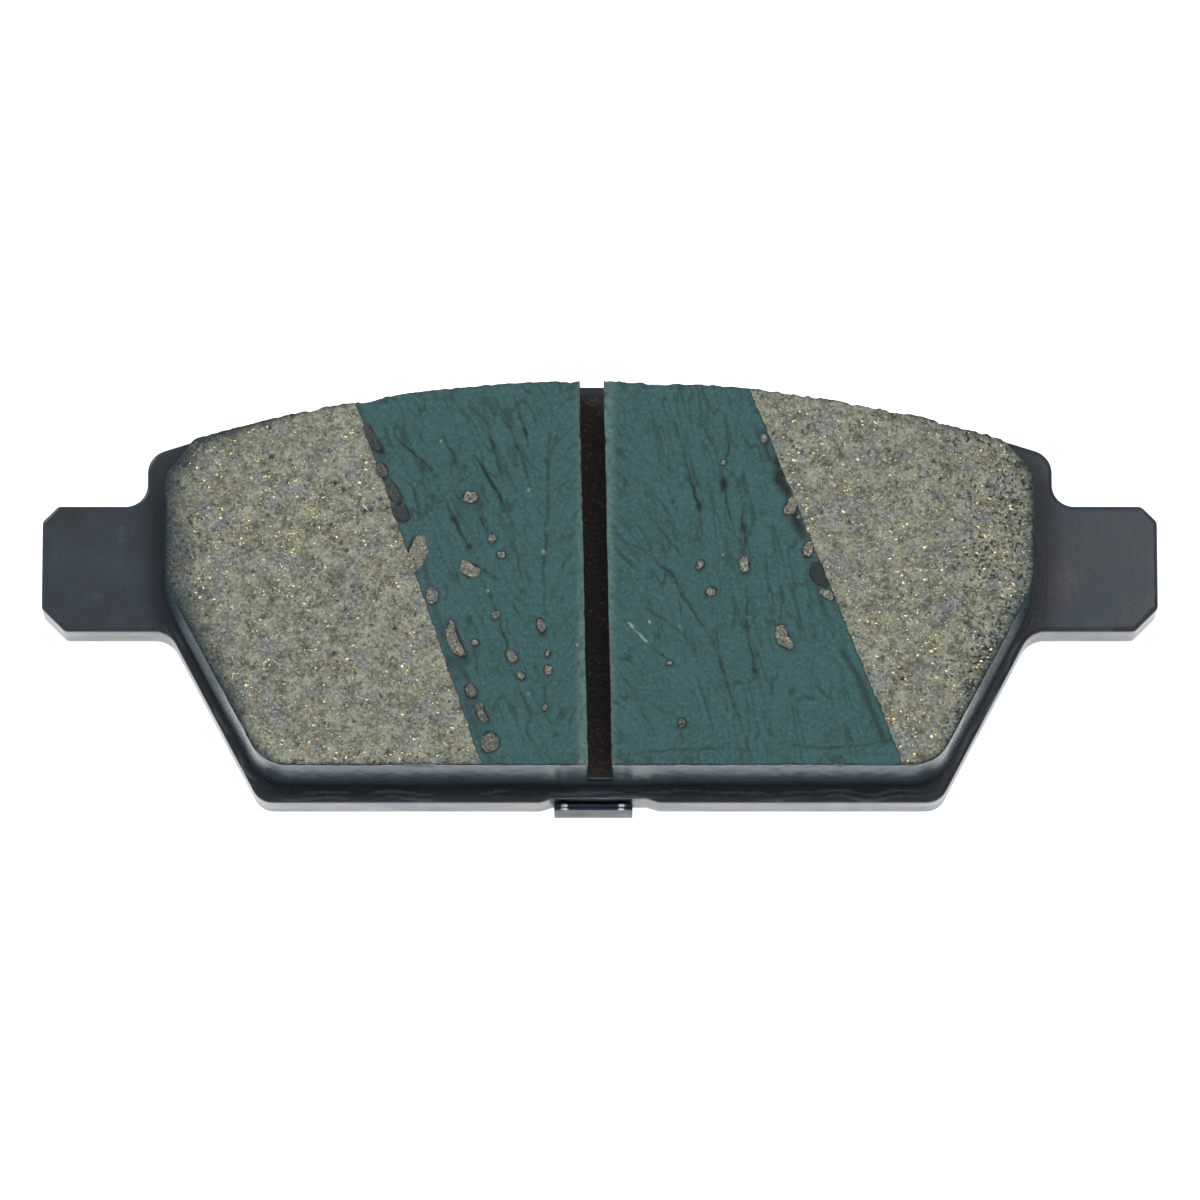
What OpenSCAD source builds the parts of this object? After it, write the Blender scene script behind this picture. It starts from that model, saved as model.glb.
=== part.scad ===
// Disc brake pad with a clip-on noise shim, in millimetres.
// The pad lies on its back: +X runs from ear to ear, +Y away from the disc's axle and
// +Z out of the friction face. The origin is the middle of the bounding box, at its base.
// Heights on the plate are measured from its bottom edge and shifted to the origin at the end.

/* [Backing plate] */
// Width over both ears
plate_w = 112.8; // [108:0.1:120]
// Height from the bottom edge to the top of the arch
plate_h = 43.4; // [43:0.1:46]
// Thickness of the stamped steel
plate_t = 5.5; // [4.5:0.1:7]
// Radius of the arched top edge
plate_arc_r = 142; // [130:1:160]
// Distance from the middle to the shoulder's upright side
shoulder_x = 45.8; // [45:0.1:47]
// Radius of the shoulder's top corner
shoulder_r = 2.4; // [1:0.1:3]
// Distance from the middle to the bottom corner
foot_x = 34.25; // [33:0.05:36]
// Radius of the bottom corner
foot_r = 2.2; // [0.5:0.1:3]

/* [Ears] */
// Height of the ear's lower edge
ear_low = 17.6; // [16:0.1:19]
// Height of the ear from its lower to its upper edge
ear_h = 13; // [11:0.1:13.5]
// Distance from the middle to where the slanted flank meets the ear
ear_root_x = 43.5; // [42.5:0.1:44.5]
// Radius of the inside corner above the ear
ear_top_fillet = 2.2; // [1:0.1:2.5]
// Radius of the inside corner below the ear
ear_low_fillet = 2.5; // [1:0.1:3]
// Chamfer on the ear's upper outer corner
ear_top_chamfer = 1.6; // [0.5:0.1:2]
// Chamfer on the ear's lower outer corner
ear_low_chamfer = 2.4; // [1:0.1:3]
// Rounding of the chamfers' ends
ear_corner_r = 0.7; // [0.2:0.1:1]

/* [Tab seats] */
// Depth of the shallow seat in the bottom edge
low_seat_depth = 0.4; // [0.2:0.1:0.8]
// Width of that seat's flat
low_seat_w = 9.4; // [8.5:0.1:12]
// Depth of the seats in the top edge
top_seat_depth = 0.9; // [0.6:0.1:1.2]
// Angle from the middle to each top seat, about the arch's centre
top_seat_angle = 8.9; // [6:0.1:10]
// Run of the sloped ends of every seat
seat_slope = 1.3; // [0.5:0.1:2]

/* [Moulding holes] */
// Diameter of the holes that key the underlayer into the plate
key_hole_d = 10; // [6:0.5:12]
// Distance from the middle to each hole
key_hole_x = 21; // [16:0.5:26]
// Height of the holes above the bottom edge
key_hole_y = 21; // [16:0.5:26]
// Depth by which the plugs stay below the plate's back
key_plug_recess = 0.3; // [0.1:0.1:1]

/* [Lining] */
// Thickness of the bonding adhesive
adhesive_t = 0.1; // [0.05:0.05:0.2]
// Thickness of the underlayer
underlayer_t = 1.5; // [1:0.1:2]
// Thickness of the friction block above the underlayer
block_t = 7.2; // [6:0.1:9]
// Distance from the middle to the block's upright ends
block_x = 43.55; // [42:0.05:44]
// Height of the block's bottom edge
block_low = 2; // [1.5:0.1:3]
// Height of the top of the block's arch
block_top = 41.6; // [41:0.1:42]
// Radius of the block's arched top edge
block_arc_r = 141; // [130:1:160]
// Distance from the middle to the block's bottom corner
block_foot_x = 33.7; // [33:0.05:34.5]
// Height at which the slanted flank meets the upright end
block_knee_y = 20.5; // [19:0.1:22]
// Height at which the top chamfer starts
block_chamfer_y = 32; // [31:0.1:33]
// Distance from the middle to the top chamfer's inner end
block_chamfer_x = 40.8; // [40:0.1:41.5]
// Radius of the block's bottom corners
block_foot_r = 4.2; // [2:0.1:5]
// Radius of the soft knee
block_knee_r = 7; // [3:0.5:9]
// Mould draft: how far the block's base stands out from its face, on every side
block_draft = 0.3; // [0.1:0.05:0.5]

/* [Vent slot] */
// Width of the slot
slot_w = 2.35; // [2:0.05:3]
// Depth of the slot, from the friction face
slot_depth = 6; // [5:0.1:6.5]
// Sideways place of the slot at half height
slot_x = -0.4; // [-1:0.1:1]
// Lean of the slot, counterclockwise
slot_lean = 1.2; // [0:0.1:3]

/* [Break-in coating] */
// Thickness of the coating, over the highest grains that stick in it
film_t = 0.2; // [0.1:0.01:0.3]
// Outer border of the left coating, at the height of the plate's arch
film_left_top = -26; // [-34:0.1:-10]
// Outer border of the left coating, at the height of the plate's bottom edge
film_left_low = -11.1; // [-30:0.1:-5]
// Outer border of the right coating, at the height of the plate's arch
film_right_top = 14; // [8:0.1:34]
// Outer border of the right coating, at the height of the plate's bottom edge
film_right_low = 31.1; // [5:0.1:32]

/* [Shim] */
// Thickness of the rubber coat that touches the caliper
outer_rubber_t = 0.1; // [0.05:0.01:0.2]
// Thickness of each steel sheet
sheet_t = 0.3; // [0.2:0.01:0.4]
// Thickness of the damping core between the sheets
core_t = 0.06; // [0.04:0.01:0.1]
// Thickness of the rubber coat that touches the plate
inner_rubber_t = 0.08; // [0.05:0.01:0.15]
// Distance from the plate's outline to the shim's
shim_inset = 1.6; // [1:0.1:3]
// Height of the shim's shoulder
shim_shoulder_y = 30; // [28:0.5:32]
// Corner radius of the shim
shim_r = 3; // [1:0.5:4]

/* [Shim tabs] */
// Width of a tab
tab_w = 7.9; // [6:0.1:8.4]
// Sideways place of the bottom tab
low_tab_x = -0.65; // [-1:0.05:1]
// Gap between the bottom tab and the plate
low_tab_gap = 0.3; // [0.1:0.05:0.5]
// Gap between a top tab and the plate
top_tab_gap = 0.1; // [0.05:0.05:0.3]
// Radius of the fold, on its inside
fold_r = 0.4; // [0.3:0.05:0.8]
// Distance from the tab's cut end to the plate's front face
tab_short = 1.2; // [0.5:0.1:2]
// Slip clearance between the shim and the plate's back
slip = 0.02; // [0.01:0.01:0.05]

/* [Hidden] */

// Levels, upwards from the floor
outer_steel_z = outer_rubber_t;
core_z = outer_steel_z + sheet_t;
inner_steel_z = core_z + core_t;
inner_rubber_z = inner_steel_z + sheet_t;
plate_z = inner_rubber_z + inner_rubber_t + slip;
plate_front_z = plate_z + plate_t;
underlayer_z = plate_front_z + adhesive_t;
block_z = underlayer_z + underlayer_t;
face_z = block_z + block_t;
slot_floor_z = face_z - slot_depth;
plug_z = plate_z + key_plug_recess;

// The folds of all tabs share one centre height. The laminate is as thick as its two sheets and core.
fold_z = inner_rubber_z + fold_r;
tab_tip_z = plate_front_z - tab_short;
laminate_t = 2 * sheet_t + core_t;

// The bottom tab's outer face is the lowest point. The highest are the ends of the arch's middle seat.
low_tab_face = low_seat_depth - low_tab_gap;
seat_end_x = low_seat_w / 2 + seat_slope;
plate_top = arch_y(seat_end_x, plate_h, plate_arc_r);
y_shift = -(plate_top + low_tab_face - laminate_t) / 2;

// The mould draft scales the face's outline about its middle.
block_mid_y = (block_low + block_top) / 2;
base_scale = [(block_x + block_draft) / block_x,
              (block_top - block_low + 2 * block_draft) / (block_top - block_low)];

// An arc every few degrees of turn keeps the outlines smooth.
arc_step = 6;
// Overlap that lets a cut pass cleanly through a face
cut = 1;
round_fn = 96;

ear_x = plate_w / 2;
ear_top = ear_low + ear_h;

function unit(v) = v / norm(v);
function mirrored(points) = [for (i = [len(points) - 1:-1:0]) [-points[i][0], points[i][1], points[i][2]]];
function arch_y(x, top, r) = top - r + sqrt(r * r - x * x);
function between(a, b, share) = a + (b - a) * share;

// Points of an arch from its right end to its left, every 2 mm or so, without its ends
function arch(half, top, r, steps) =
    [for (i = [1:steps - 1]) let (x = between(half, -half, i / steps)) [x, arch_y(x, top, r), 0]];

// One corner of an outline, [x, y, radius], replaced by points on an arc that touches both sides
function corner(before, here, after) =
    here[2] == 0 ? [[here[0], here[1]]] :
    let (p = [here[0], here[1]],
         u = unit([before[0], before[1]] - p),
         v = unit([after[0], after[1]] - p),
         half_angle = acos(u * v) / 2,
         centre = p + unit(u + v) * here[2] / sin(half_angle),
         start = p + u * here[2] / tan(half_angle) - centre,
         turn = (180 - 2 * half_angle) * (u[0] * v[1] - u[1] * v[0] > 0 ? -1 : 1),
         steps = max(2, ceil(abs(turn) / arc_step)))
    [for (i = [0:steps]) let (a = turn * i / steps)
        centre + [start[0] * cos(a) - start[1] * sin(a), start[0] * sin(a) + start[1] * cos(a)]];

function rounded(points) =
    let (n = len(points))
    [for (i = [0:n - 1]) each corner(points[(i + n - 1) % n], points[i], points[(i + 1) % n])];

// A shallow seat that is cut into an edge: a trapezoid with its wide side outwards
module seat_2d(flat_w, depth) {
    wide = flat_w / 2 + seat_slope;
    polygon([[-flat_w / 2, -depth], [flat_w / 2, -depth], [wide, 0], [wide, cut], [-wide, cut], [-wide, 0]]);
}

// Places its children at a tab on the top edge, with +Y pointing out of the edge and 0 on the arch
module at_top_tab(side) {
    translate([0, plate_h - plate_arc_r])
    rotate([0, 0, -side * top_seat_angle])
    translate([0, plate_arc_r])
    children();
}

// Half of the plate's outline, from the bottom corner to the shoulder, counterclockwise
plate_side = [
    [foot_x, 0, foot_r],
    [ear_root_x, ear_low, ear_low_fillet],
    [ear_x - ear_low_chamfer, ear_low, ear_corner_r],
    [ear_x, ear_low + ear_low_chamfer, ear_corner_r],
    [ear_x, ear_top - ear_top_chamfer, ear_corner_r],
    [ear_x - ear_top_chamfer, ear_top, ear_corner_r],
    [shoulder_x, ear_top, ear_top_fillet],
    [shoulder_x, arch_y(shoulder_x, plate_h, plate_arc_r), shoulder_r]];

module plate_2d() {
    difference() {
        polygon(rounded(concat(plate_side,
                               arch(shoulder_x, plate_h, plate_arc_r, 46),
                               mirrored(plate_side))));
        rotate(180) seat_2d(low_seat_w, low_seat_depth);
        translate([0, plate_h]) seat_2d(low_seat_w, low_seat_depth);
        for (side = [-1, 1]) at_top_tab(side) seat_2d(tab_w + 1, top_seat_depth);
    }
}

// Half of the block's outline, from the bottom corner to the top chamfer, counterclockwise
block_side = [
    [block_foot_x, block_low, block_foot_r],
    [block_x, block_knee_y, block_knee_r],
    [block_x, block_chamfer_y, 1.5],
    [block_chamfer_x, arch_y(block_chamfer_x, block_top, block_arc_r), 1.5]];

module block_2d() {
    polygon(rounded(concat(block_side,
                           arch(block_chamfer_x, block_top, block_arc_r, 42),
                           mirrored(block_side))));
}

// The block's outline at its base, which the mould draft makes larger than its face
module block_base_2d() {
    translate([0, block_mid_y]) scale(base_scale) translate([0, -block_mid_y]) block_2d();
}

// A strip as wide as the slot and long enough to cross the whole lining
module slot_strip_2d() {
    translate([slot_x, plate_h / 2]) rotate(slot_lean) square([slot_w, plate_h + 2 * cut], center = true);
}

// The part of the lining's face between a slanted border and the slot
module film_2d(top_x, low_x) {
    difference() {
        intersection() {
            block_2d();
            polygon([[low_x, 0], [slot_x, 0], [slot_x, plate_h], [top_x, plate_h]]);
        }
        slot_strip_2d();
    }
}

// Half of the shim's outline, from the bottom corner to the end of its arch, counterclockwise
shim_top = plate_h - shim_inset;
shim_arch_x = shoulder_x - 3 * shim_inset;
shim_side = [
    [foot_x - shim_inset, shim_inset, shim_r],
    [ear_root_x - shim_inset, ear_low, shim_r],
    [shoulder_x - 2 * shim_inset, shim_shoulder_y, shim_r],
    [shim_arch_x, arch_y(shim_arch_x, shim_top, plate_arc_r), shim_r]];

module shim_2d() {
    polygon(rounded(concat(shim_side, arch(shim_arch_x, shim_top, plate_arc_r, 40), mirrored(shim_side))));
}

// A layer of the laminate between two depths, measured from its inner face: the flat part of a tab
// from inside the sheet to its fold, the fold and the leg. +Y points out of the plate's edge, and
// 0 is the face of the leg that looks at the plate.
module tab_layer(inner, outer) {
    flat_len = 4;
    rotate([90, 0, 90]) linear_extrude(tab_w, center = true) {
        translate([-fold_r - flat_len, fold_z - fold_r - outer]) square([flat_len, outer - inner]);
        translate([-fold_r, fold_z]) intersection() {
            difference() {
                circle(fold_r + outer, $fn = round_fn);
                circle(fold_r + inner, $fn = round_fn);
            }
            translate([0, -fold_r - 2 * outer - cut]) square(fold_r + 2 * outer + cut);
        }
        translate([inner, fold_z]) square([outer - inner, tab_tip_z - fold_z]);
    }
}

// One sheet of the laminate with its three tabs
module laminate_layer(inner, outer) {
    translate([0, 0, fold_z - fold_r - outer]) linear_extrude(outer - inner) shim_2d();
    translate([low_tab_x, low_tab_face, 0]) rotate([0, 0, 180]) tab_layer(inner, outer);
    for (side = [-1, 1])
        at_top_tab(side) translate([0, top_tab_gap - top_seat_depth, 0]) tab_layer(inner, outer);
}

// Moves heights that start at the plate's bottom edge to the origin of the whole pad
module centred() {
    translate([0, y_shift, 0]) children();
}

module break_in_coating(top_x, low_x) {
    centred() translate([0, 0, face_z]) linear_extrude(film_t) film_2d(top_x, low_x);
}

module key_discs(d, z, h) {
    for (side = [-1, 1])
        translate([side * key_hole_x, key_hole_y, z]) cylinder(h = h, d = d, $fn = round_fn);
}

module shim_outer_rubber() {
    color("#2b2d30") centred() linear_extrude(outer_rubber_t) shim_2d();
}

module shim_outer_steel() {
    color("#6f7378") centred() laminate_layer(sheet_t + core_t, laminate_t);
}

module shim_damping_core() {
    color("#1b1c20") centred() laminate_layer(sheet_t, sheet_t + core_t);
}

module shim_inner_steel() {
    color("#5a5e64") centred() laminate_layer(0, sheet_t);
}

module shim_inner_rubber() {
    color("#232427") centred() translate([0, 0, inner_rubber_z]) linear_extrude(inner_rubber_t) shim_2d();
}

module backing_plate() {
    color("#262c36") centred() difference() {
        translate([0, 0, plate_z]) linear_extrude(plate_t) plate_2d();
        key_discs(key_hole_d, plate_z - cut, plate_t + 2 * cut);
    }
}

module bonding_adhesive() {
    color("#7a5a3a") centred() difference() {
        translate([0, 0, plate_front_z]) linear_extrude(adhesive_t) block_base_2d();
        key_discs(key_hole_d, plate_front_z - cut, adhesive_t + 2 * cut);
    }
}

module underlayer() {
    color("#55524c") centred() {
        translate([0, 0, underlayer_z]) linear_extrude(underlayer_t) block_base_2d();
        key_discs(key_hole_d, plug_z, block_z - plug_z);
    }
}

module friction_block() {
    color("#79776b") centred() difference() {
        translate([0, block_mid_y, block_z])
            linear_extrude(block_t, scale = [1 / base_scale[0], 1 / base_scale[1]])
            translate([0, -block_mid_y])
            block_base_2d();
        translate([0, 0, slot_floor_z]) linear_extrude(slot_depth + cut) slot_strip_2d();
    }
}

module transfer_film_left() {
    color("#3f6869") break_in_coating(film_left_top, film_left_low);
}

module transfer_film_right() {
    color("#3f6869") break_in_coating(film_right_top, film_right_low);
}

shim_outer_rubber();
shim_outer_steel();
shim_damping_core();
shim_inner_steel();
shim_inner_rubber();
backing_plate();
bonding_adhesive();
underlayer();
friction_block();
transfer_film_left();
transfer_film_right();
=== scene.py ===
"""Looks of a disc brake pad: its visible meshes, finishes, light and camera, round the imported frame.

Lengths are in metres, in the frame of the CAD model: +X runs from ear to ear, +Y towards the arched
edge and +Z out of the friction face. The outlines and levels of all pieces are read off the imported
nodes. Sizes that the frame doesn't hold, such as edge radii and grain, are fields of the classes.
"""

from __future__ import annotations

import logging
import math
from collections.abc import Callable, Sequence
from dataclasses import dataclass, field, replace
from enum import Enum
from functools import partial

import bmesh
import bpy
import numpy as np
from mathutils import Euler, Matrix, Vector, geometry, kdtree


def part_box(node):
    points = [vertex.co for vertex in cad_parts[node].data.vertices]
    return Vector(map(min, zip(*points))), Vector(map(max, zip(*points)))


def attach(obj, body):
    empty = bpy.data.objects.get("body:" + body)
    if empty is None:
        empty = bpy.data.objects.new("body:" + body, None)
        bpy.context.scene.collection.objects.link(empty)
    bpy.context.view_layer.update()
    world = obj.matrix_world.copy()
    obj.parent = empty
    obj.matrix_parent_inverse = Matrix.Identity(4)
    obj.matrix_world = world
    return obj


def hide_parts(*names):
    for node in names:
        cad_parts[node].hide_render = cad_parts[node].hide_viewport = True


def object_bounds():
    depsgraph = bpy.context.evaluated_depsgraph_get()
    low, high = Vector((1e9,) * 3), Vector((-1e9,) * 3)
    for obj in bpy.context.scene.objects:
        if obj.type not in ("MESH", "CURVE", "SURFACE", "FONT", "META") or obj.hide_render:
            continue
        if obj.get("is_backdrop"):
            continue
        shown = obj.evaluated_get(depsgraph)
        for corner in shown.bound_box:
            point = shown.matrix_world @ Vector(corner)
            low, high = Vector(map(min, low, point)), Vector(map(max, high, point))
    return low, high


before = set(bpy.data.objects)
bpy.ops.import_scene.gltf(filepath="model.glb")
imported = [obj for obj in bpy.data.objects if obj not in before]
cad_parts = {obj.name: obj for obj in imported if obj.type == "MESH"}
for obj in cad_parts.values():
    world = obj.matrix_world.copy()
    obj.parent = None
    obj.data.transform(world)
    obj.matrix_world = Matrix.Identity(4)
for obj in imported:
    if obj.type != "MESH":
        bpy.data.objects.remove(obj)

LOG = logging.getLogger("brake_pad")
MM = 0.001
PAD = "pad"
SHIM = "shim"

# Places are rows of x and y. A field gives one value for each of them. A line is a path, its
# half-width and its darkness.
Array = np.ndarray
Field = Callable[[Array], Array]
Line = tuple[Array, float, float]
NOWHERE = np.empty((0, 2))

# Factors and masks of the integer hash behind every random pattern.
HASH_X, HASH_Y, HASH_SEED, HASH_STIR = 374761393, 668265263, 2246822519, np.uint64(1274126177)
WORD, HALF_WORD = np.uint64(0xFFFFFFFF), np.uint64(0xFFFF)

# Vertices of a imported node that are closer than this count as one.
MERGE = 1e-3 * MM

# Least part of a normal along an axis that counts as facing that way.
FACING = 0.6

# The triangulation's mode that leaves the inner loops open, and its tolerance in millimetres.
INSIDE_WITH_HOLES, CLOSE = 2, 1e-6

# Crumbs longer than this, in millimetres, are bent like a bean.
BEAN_LENGTH = 1.6

# Share of the oval and height of each row of a crumb's vertices, from its foot to its crown.
CRUMB_ROWS = ((1.0, -0.5), (0.99, 0.3), (0.9, 0.72), (0.66, 0.95), (0.36, 0.9), (0.12, 0.85))


# ---------------------------------------------------------------- noise and outlines


def lattice(ix: Array, iy: Array, seed: int) -> Array:
    """Repeatable random values for whole-number lattice points.

    Args:
        ix: Lattice columns.
        iy: Lattice rows.
        seed: Number of the pattern.

    Returns:
        One value from -1 to 1 per point.
    """
    mixed = ix.astype(np.int64) * HASH_X + iy.astype(np.int64) * HASH_Y + seed * HASH_SEED
    mixed = mixed.astype(np.uint64) & WORD
    mixed = ((mixed ^ (mixed >> np.uint64(13))) * HASH_STIR) & WORD
    return ((mixed ^ (mixed >> np.uint64(16))) & HALF_WORD).astype(float) / 32767.5 - 1.0


def grain(points: Array, size: float, seed: int) -> Array:
    """Smooth random bumps in the plane.

    Args:
        points: Places.
        size: Distance between bumps.
        seed: Number of the pattern.

    Returns:
        One value from -1 to 1 per point.
    """
    cell = np.floor(points / size)
    t = points / size - cell
    (ix, iy), (tx, ty) = cell.T, (t * t * (3.0 - 2.0 * t)).T
    low, high = (lattice(ix, iy + k, seed) * (1 - tx) + lattice(ix + 1, iy + k, seed) * tx for k in (0, 1))
    return low * (1 - ty) + high * ty


def rough(points: Array, size: float, seed: int) -> Array:
    """Random bumps with two finer sizes on them, each half the one before, mostly from -1 to 1."""
    layers = [grain(points, size / 2**i, seed + i) * 0.5**i for i in range(3)]
    return np.sum(layers, axis=0) / 1.4


def smooth_step(value: Array, low: float, high: float) -> Array:
    """A soft ramp from 0 at low to 1 at high."""
    t = np.clip((value - low) / (high - low), 0.0, 1.0)
    return t * t * (3.0 - 2.0 * t)


def bell(value: Array, middle: Array | float, width: Array | float) -> Array:
    """A bell curve that is 1 in the middle and 0.37 at its width from there."""
    return np.exp(-(((value - middle) / width) ** 2))


def turned(x: Array, y: Array, angle: float) -> Array:
    """Places with the given x and y, turned counterclockwise by an angle in radians."""
    c, s = math.cos(angle), math.sin(angle)
    return np.stack([x * c - y * s, x * s + y * c], axis=1)


@dataclass
class Outline:
    """A closed outline in the plane, counterclockwise.

    Attributes:
        points: Its corners, as rows of x and y.
    """

    points: Array

    def __post_init__(self) -> None:
        """Turns the outline counterclockwise."""
        x, y = self.points.T
        if np.sum(x * np.roll(y, -1) - y * np.roll(x, -1)) < 0:
            self.points = self.points[::-1].copy()

    def sides(self) -> Array:
        """The length of each side, from a point to the next."""
        return np.linalg.norm(np.roll(self.points, -1, axis=0) - self.points, axis=1)

    def started_at(self, index: int) -> Outline:
        """The same outline with another first point."""
        return Outline(np.roll(self.points, -index, axis=0))

    def longest_first(self) -> Outline:
        """The same outline, started with its longest side."""
        return self.started_at(int(np.argmax(self.sides())))

    def resampled(self, step: float) -> Outline:
        """The same outline with evenly spaced points, about one step apart."""
        closed = np.vstack([self.points, self.points[:1]])
        return Outline(spaced(closed, max(8, round(self.sides().sum() / step)))[:-1])

    def normals(self) -> Array:
        """The directions out of the outline.

        Returns:
            One unit normal per point.
        """
        along = np.roll(self.points, -1, axis=0) - np.roll(self.points, 1, axis=0)
        out = np.stack([along[:, 1], -along[:, 0]], axis=1)
        return out / np.linalg.norm(out, axis=1, keepdims=True)

    def holds(self, points: Array) -> Array:
        """Which points lie inside, by the even-odd rule.

        Args:
            points: Places.

        Returns:
            One truth value per point.
        """
        inside = np.zeros(len(points), bool)
        for (ax, ay), (bx, by) in zip(self.points, np.roll(self.points, -1, axis=0)):
            if ay != by:
                crosses = (ay > points[:, 1]) != (by > points[:, 1])
                at_x = ax + (points[:, 1] - ay) * (bx - ax) / (by - ay)
                inside ^= crosses & (points[:, 0] < at_x)
        return inside


def spaced(path: Array, parts: int) -> Array:
    """Evenly spaced points along an open path.

    Args:
        path: The path's places.
        parts: How many equal parts it is cut into.

    Returns:
        The ends of the parts, one more than there are parts.
    """
    run = np.concatenate([[0.0], np.cumsum(np.linalg.norm(np.diff(path, axis=0), axis=1))])
    at = np.linspace(0.0, run[-1], parts + 1)
    return np.stack([np.interp(at, run, path[:, k]) for k in (0, 1)], axis=1)


def top_outlines(node: str) -> list[Outline]:
    """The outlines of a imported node's flat top.

    Args:
        node: The node's name.

    Returns:
        One outline per closed run of edges, the longest first.
    """
    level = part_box(node)[1][2]
    work = bmesh.new()
    work.from_mesh(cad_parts[node].data)
    bmesh.ops.remove_doubles(work, verts=work.verts, dist=MERGE)
    flat = {f for f in work.faces if all(abs(v.co.z - level) < 2 * MERGE for v in f.verts)}
    beside: dict[bmesh.types.BMVert, list[bmesh.types.BMVert]] = {}
    for edge in work.edges:
        if sum(f in flat for f in edge.link_faces) == 1:
            for a, b in (edge.verts, reversed(edge.verts)):
                beside.setdefault(a, []).append(b)
    found = []
    while beside:
        here = next(iter(beside))
        loop = []
        while here in beside:
            loop.append(here.co.xy.to_tuple())
            onward = [v for v in beside.pop(here) if v in beside]
            here = onward[0] if onward else None
        found.append(Outline(np.array(loop)))
    work.free()
    return sorted(found, key=lambda o: -o.sides().sum())


def nearest(points: Array, targets: Array) -> tuple[Array, Array]:
    """The nearest target of each point.

    Args:
        points: Places.
        targets: The targets' places.

    Returns:
        Distances, and numbers of the targets.
    """
    tree = kdtree.KDTree(len(targets))
    for i, (x, y) in enumerate(targets):
        tree.insert((x, y, 0.0), i)
    tree.balance()
    hits = [tree.find((x, y, 0.0)) for x, y in points]
    return np.array([h[2] for h in hits]), np.array([h[1] for h in hits], int)


# ---------------------------------------------------------------- meshes


def placed(name: str, data: bpy.types.ID) -> bpy.types.Object:
    """Makes an object and links it to the scene.

    Args:
        name: The object's name.
        data: Its mesh, lamp or camera.

    Returns:
        The object.
    """
    made = bpy.data.objects.new(name, data)
    bpy.context.scene.collection.objects.link(made)
    return made


class Shell:
    """The vertices and faces of one piece while it is made."""

    def __init__(self) -> None:
        """Starts an empty shell."""
        self._points: list[Array] = []
        self._count = 0
        self.faces: list[tuple[int, ...]] = []

    @property
    def points(self) -> Array:
        """All vertices so far, as rows of x, y and z."""
        return np.vstack(self._points)

    def add(self, plane: Array, height: Array | float) -> Array:
        """Adds vertices.

        Args:
            plane: Their places.
            height: Their heights, or one height for all.

        Returns:
            The new vertices' numbers.
        """
        rows = np.column_stack([plane, np.broadcast_to(height, len(plane))])
        self._points.append(rows)
        self._count += len(rows)
        return np.arange(self._count - len(rows), self._count)

    def band(self, rows: Sequence[Array], closed: bool = True) -> None:
        """Joins each row of vertices to the next with a strip of quads.

        Args:
            rows: Rows of vertex numbers, all of the same length.
            closed: Whether the strips run on from the last vertices to the first.
        """
        for upper, lower in zip(rows[:-1], rows[1:]):
            for i in range(len(upper) if closed else len(upper) - 1):
                j = (i + 1) % len(upper)
                self.faces.append((upper[i], lower[i], lower[j], upper[j]))

    def cap(self, loops: Sequence[Array], inner: Array = NOWHERE, height: Field | float = 0.0) -> None:
        """Fills the area inside the first loop and outside the others with triangles.

        Args:
            loops: Rows of vertex numbers that are already in the shell.
            inner: Places of the points to use inside the area.
            height: The inner points' height, or what gives their heights.
        """
        rim = np.concatenate(loops)
        new = self.add(inner, height(inner) if callable(height) else height)
        flat = np.vstack([self.points[rim][:, :2], inner]) / MM
        starts = np.cumsum([0] + [len(loop) for loop in loops])
        rings = [list(range(a, b)) for a, b in zip(starts[:-1], starts[1:])]
        made = geometry.delaunay_2d_cdt([Vector(p) for p in flat], [], rings, INSIDE_WITH_HOLES, CLOSE)
        names = np.concatenate([rim, new])
        origin = [names[source[0]] if source else -1 for source in made[3]]
        for face in made[2]:
            corners = tuple(int(origin[k]) for k in face)
            if -1 not in corners and len(set(corners)) == len(corners):
                self.faces.append(corners)

    def finished(self, name: str) -> bpy.types.Object:
        """Makes the piece, smooth shaded and with its faces turned outwards.

        Args:
            name: The piece's name.

        Returns:
            The Blender object.
        """
        mesh = bpy.data.meshes.new(name)
        mesh.from_pydata(self.points.tolist(), [], [[int(k) for k in f] for f in self.faces])
        work = bmesh.new()
        work.from_mesh(mesh)
        bmesh.ops.recalc_face_normals(work, faces=work.faces)
        if work.calc_volume(signed=True) < 0:
            bmesh.ops.reverse_faces(work, faces=work.faces)
        work.to_mesh(mesh)
        work.free()
        mesh.shade_smooth()
        return placed(name, mesh)


def paint(piece: bpy.types.Object, name: str, values: Array) -> None:
    """Stores one number per vertex, which a finish reads by name."""
    layer = piece.data.attributes.new(name, "FLOAT", "POINT")
    layer.data.foreach_set("value", np.asarray(values, np.float32))


def scattered(area: Outline, spacing: float, margin: float, seed: int, allowed: Field | None = None) -> Array:
    """Evenly spread points inside an outline, each moved a little at random.

    Args:
        area: The outline.
        spacing: Distance between points.
        margin: Least distance from the outline.
        seed: Number of the random pattern.
        allowed: Says which places may be used, if not all.

    Returns:
        The points' places.
    """
    low, high = area.points.min(axis=0), area.points.max(axis=0)
    rows = np.arange(low[1], high[1], spacing * math.sqrt(0.75))
    columns = np.arange(low[0], high[0], spacing)
    grid = np.array([(x + spacing / 2 * (j % 2), y) for j, y in enumerate(rows) for x in columns])
    grid += np.random.default_rng(seed).uniform(-0.22, 0.22, grid.shape) * spacing
    grid = grid[area.holds(grid)]
    if allowed is not None:
        grid = grid[allowed(grid)]
    return grid[nearest(grid, area.resampled(margin / 2).points)[0] > margin]


# ---------------------------------------------------------------- finishes


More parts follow.
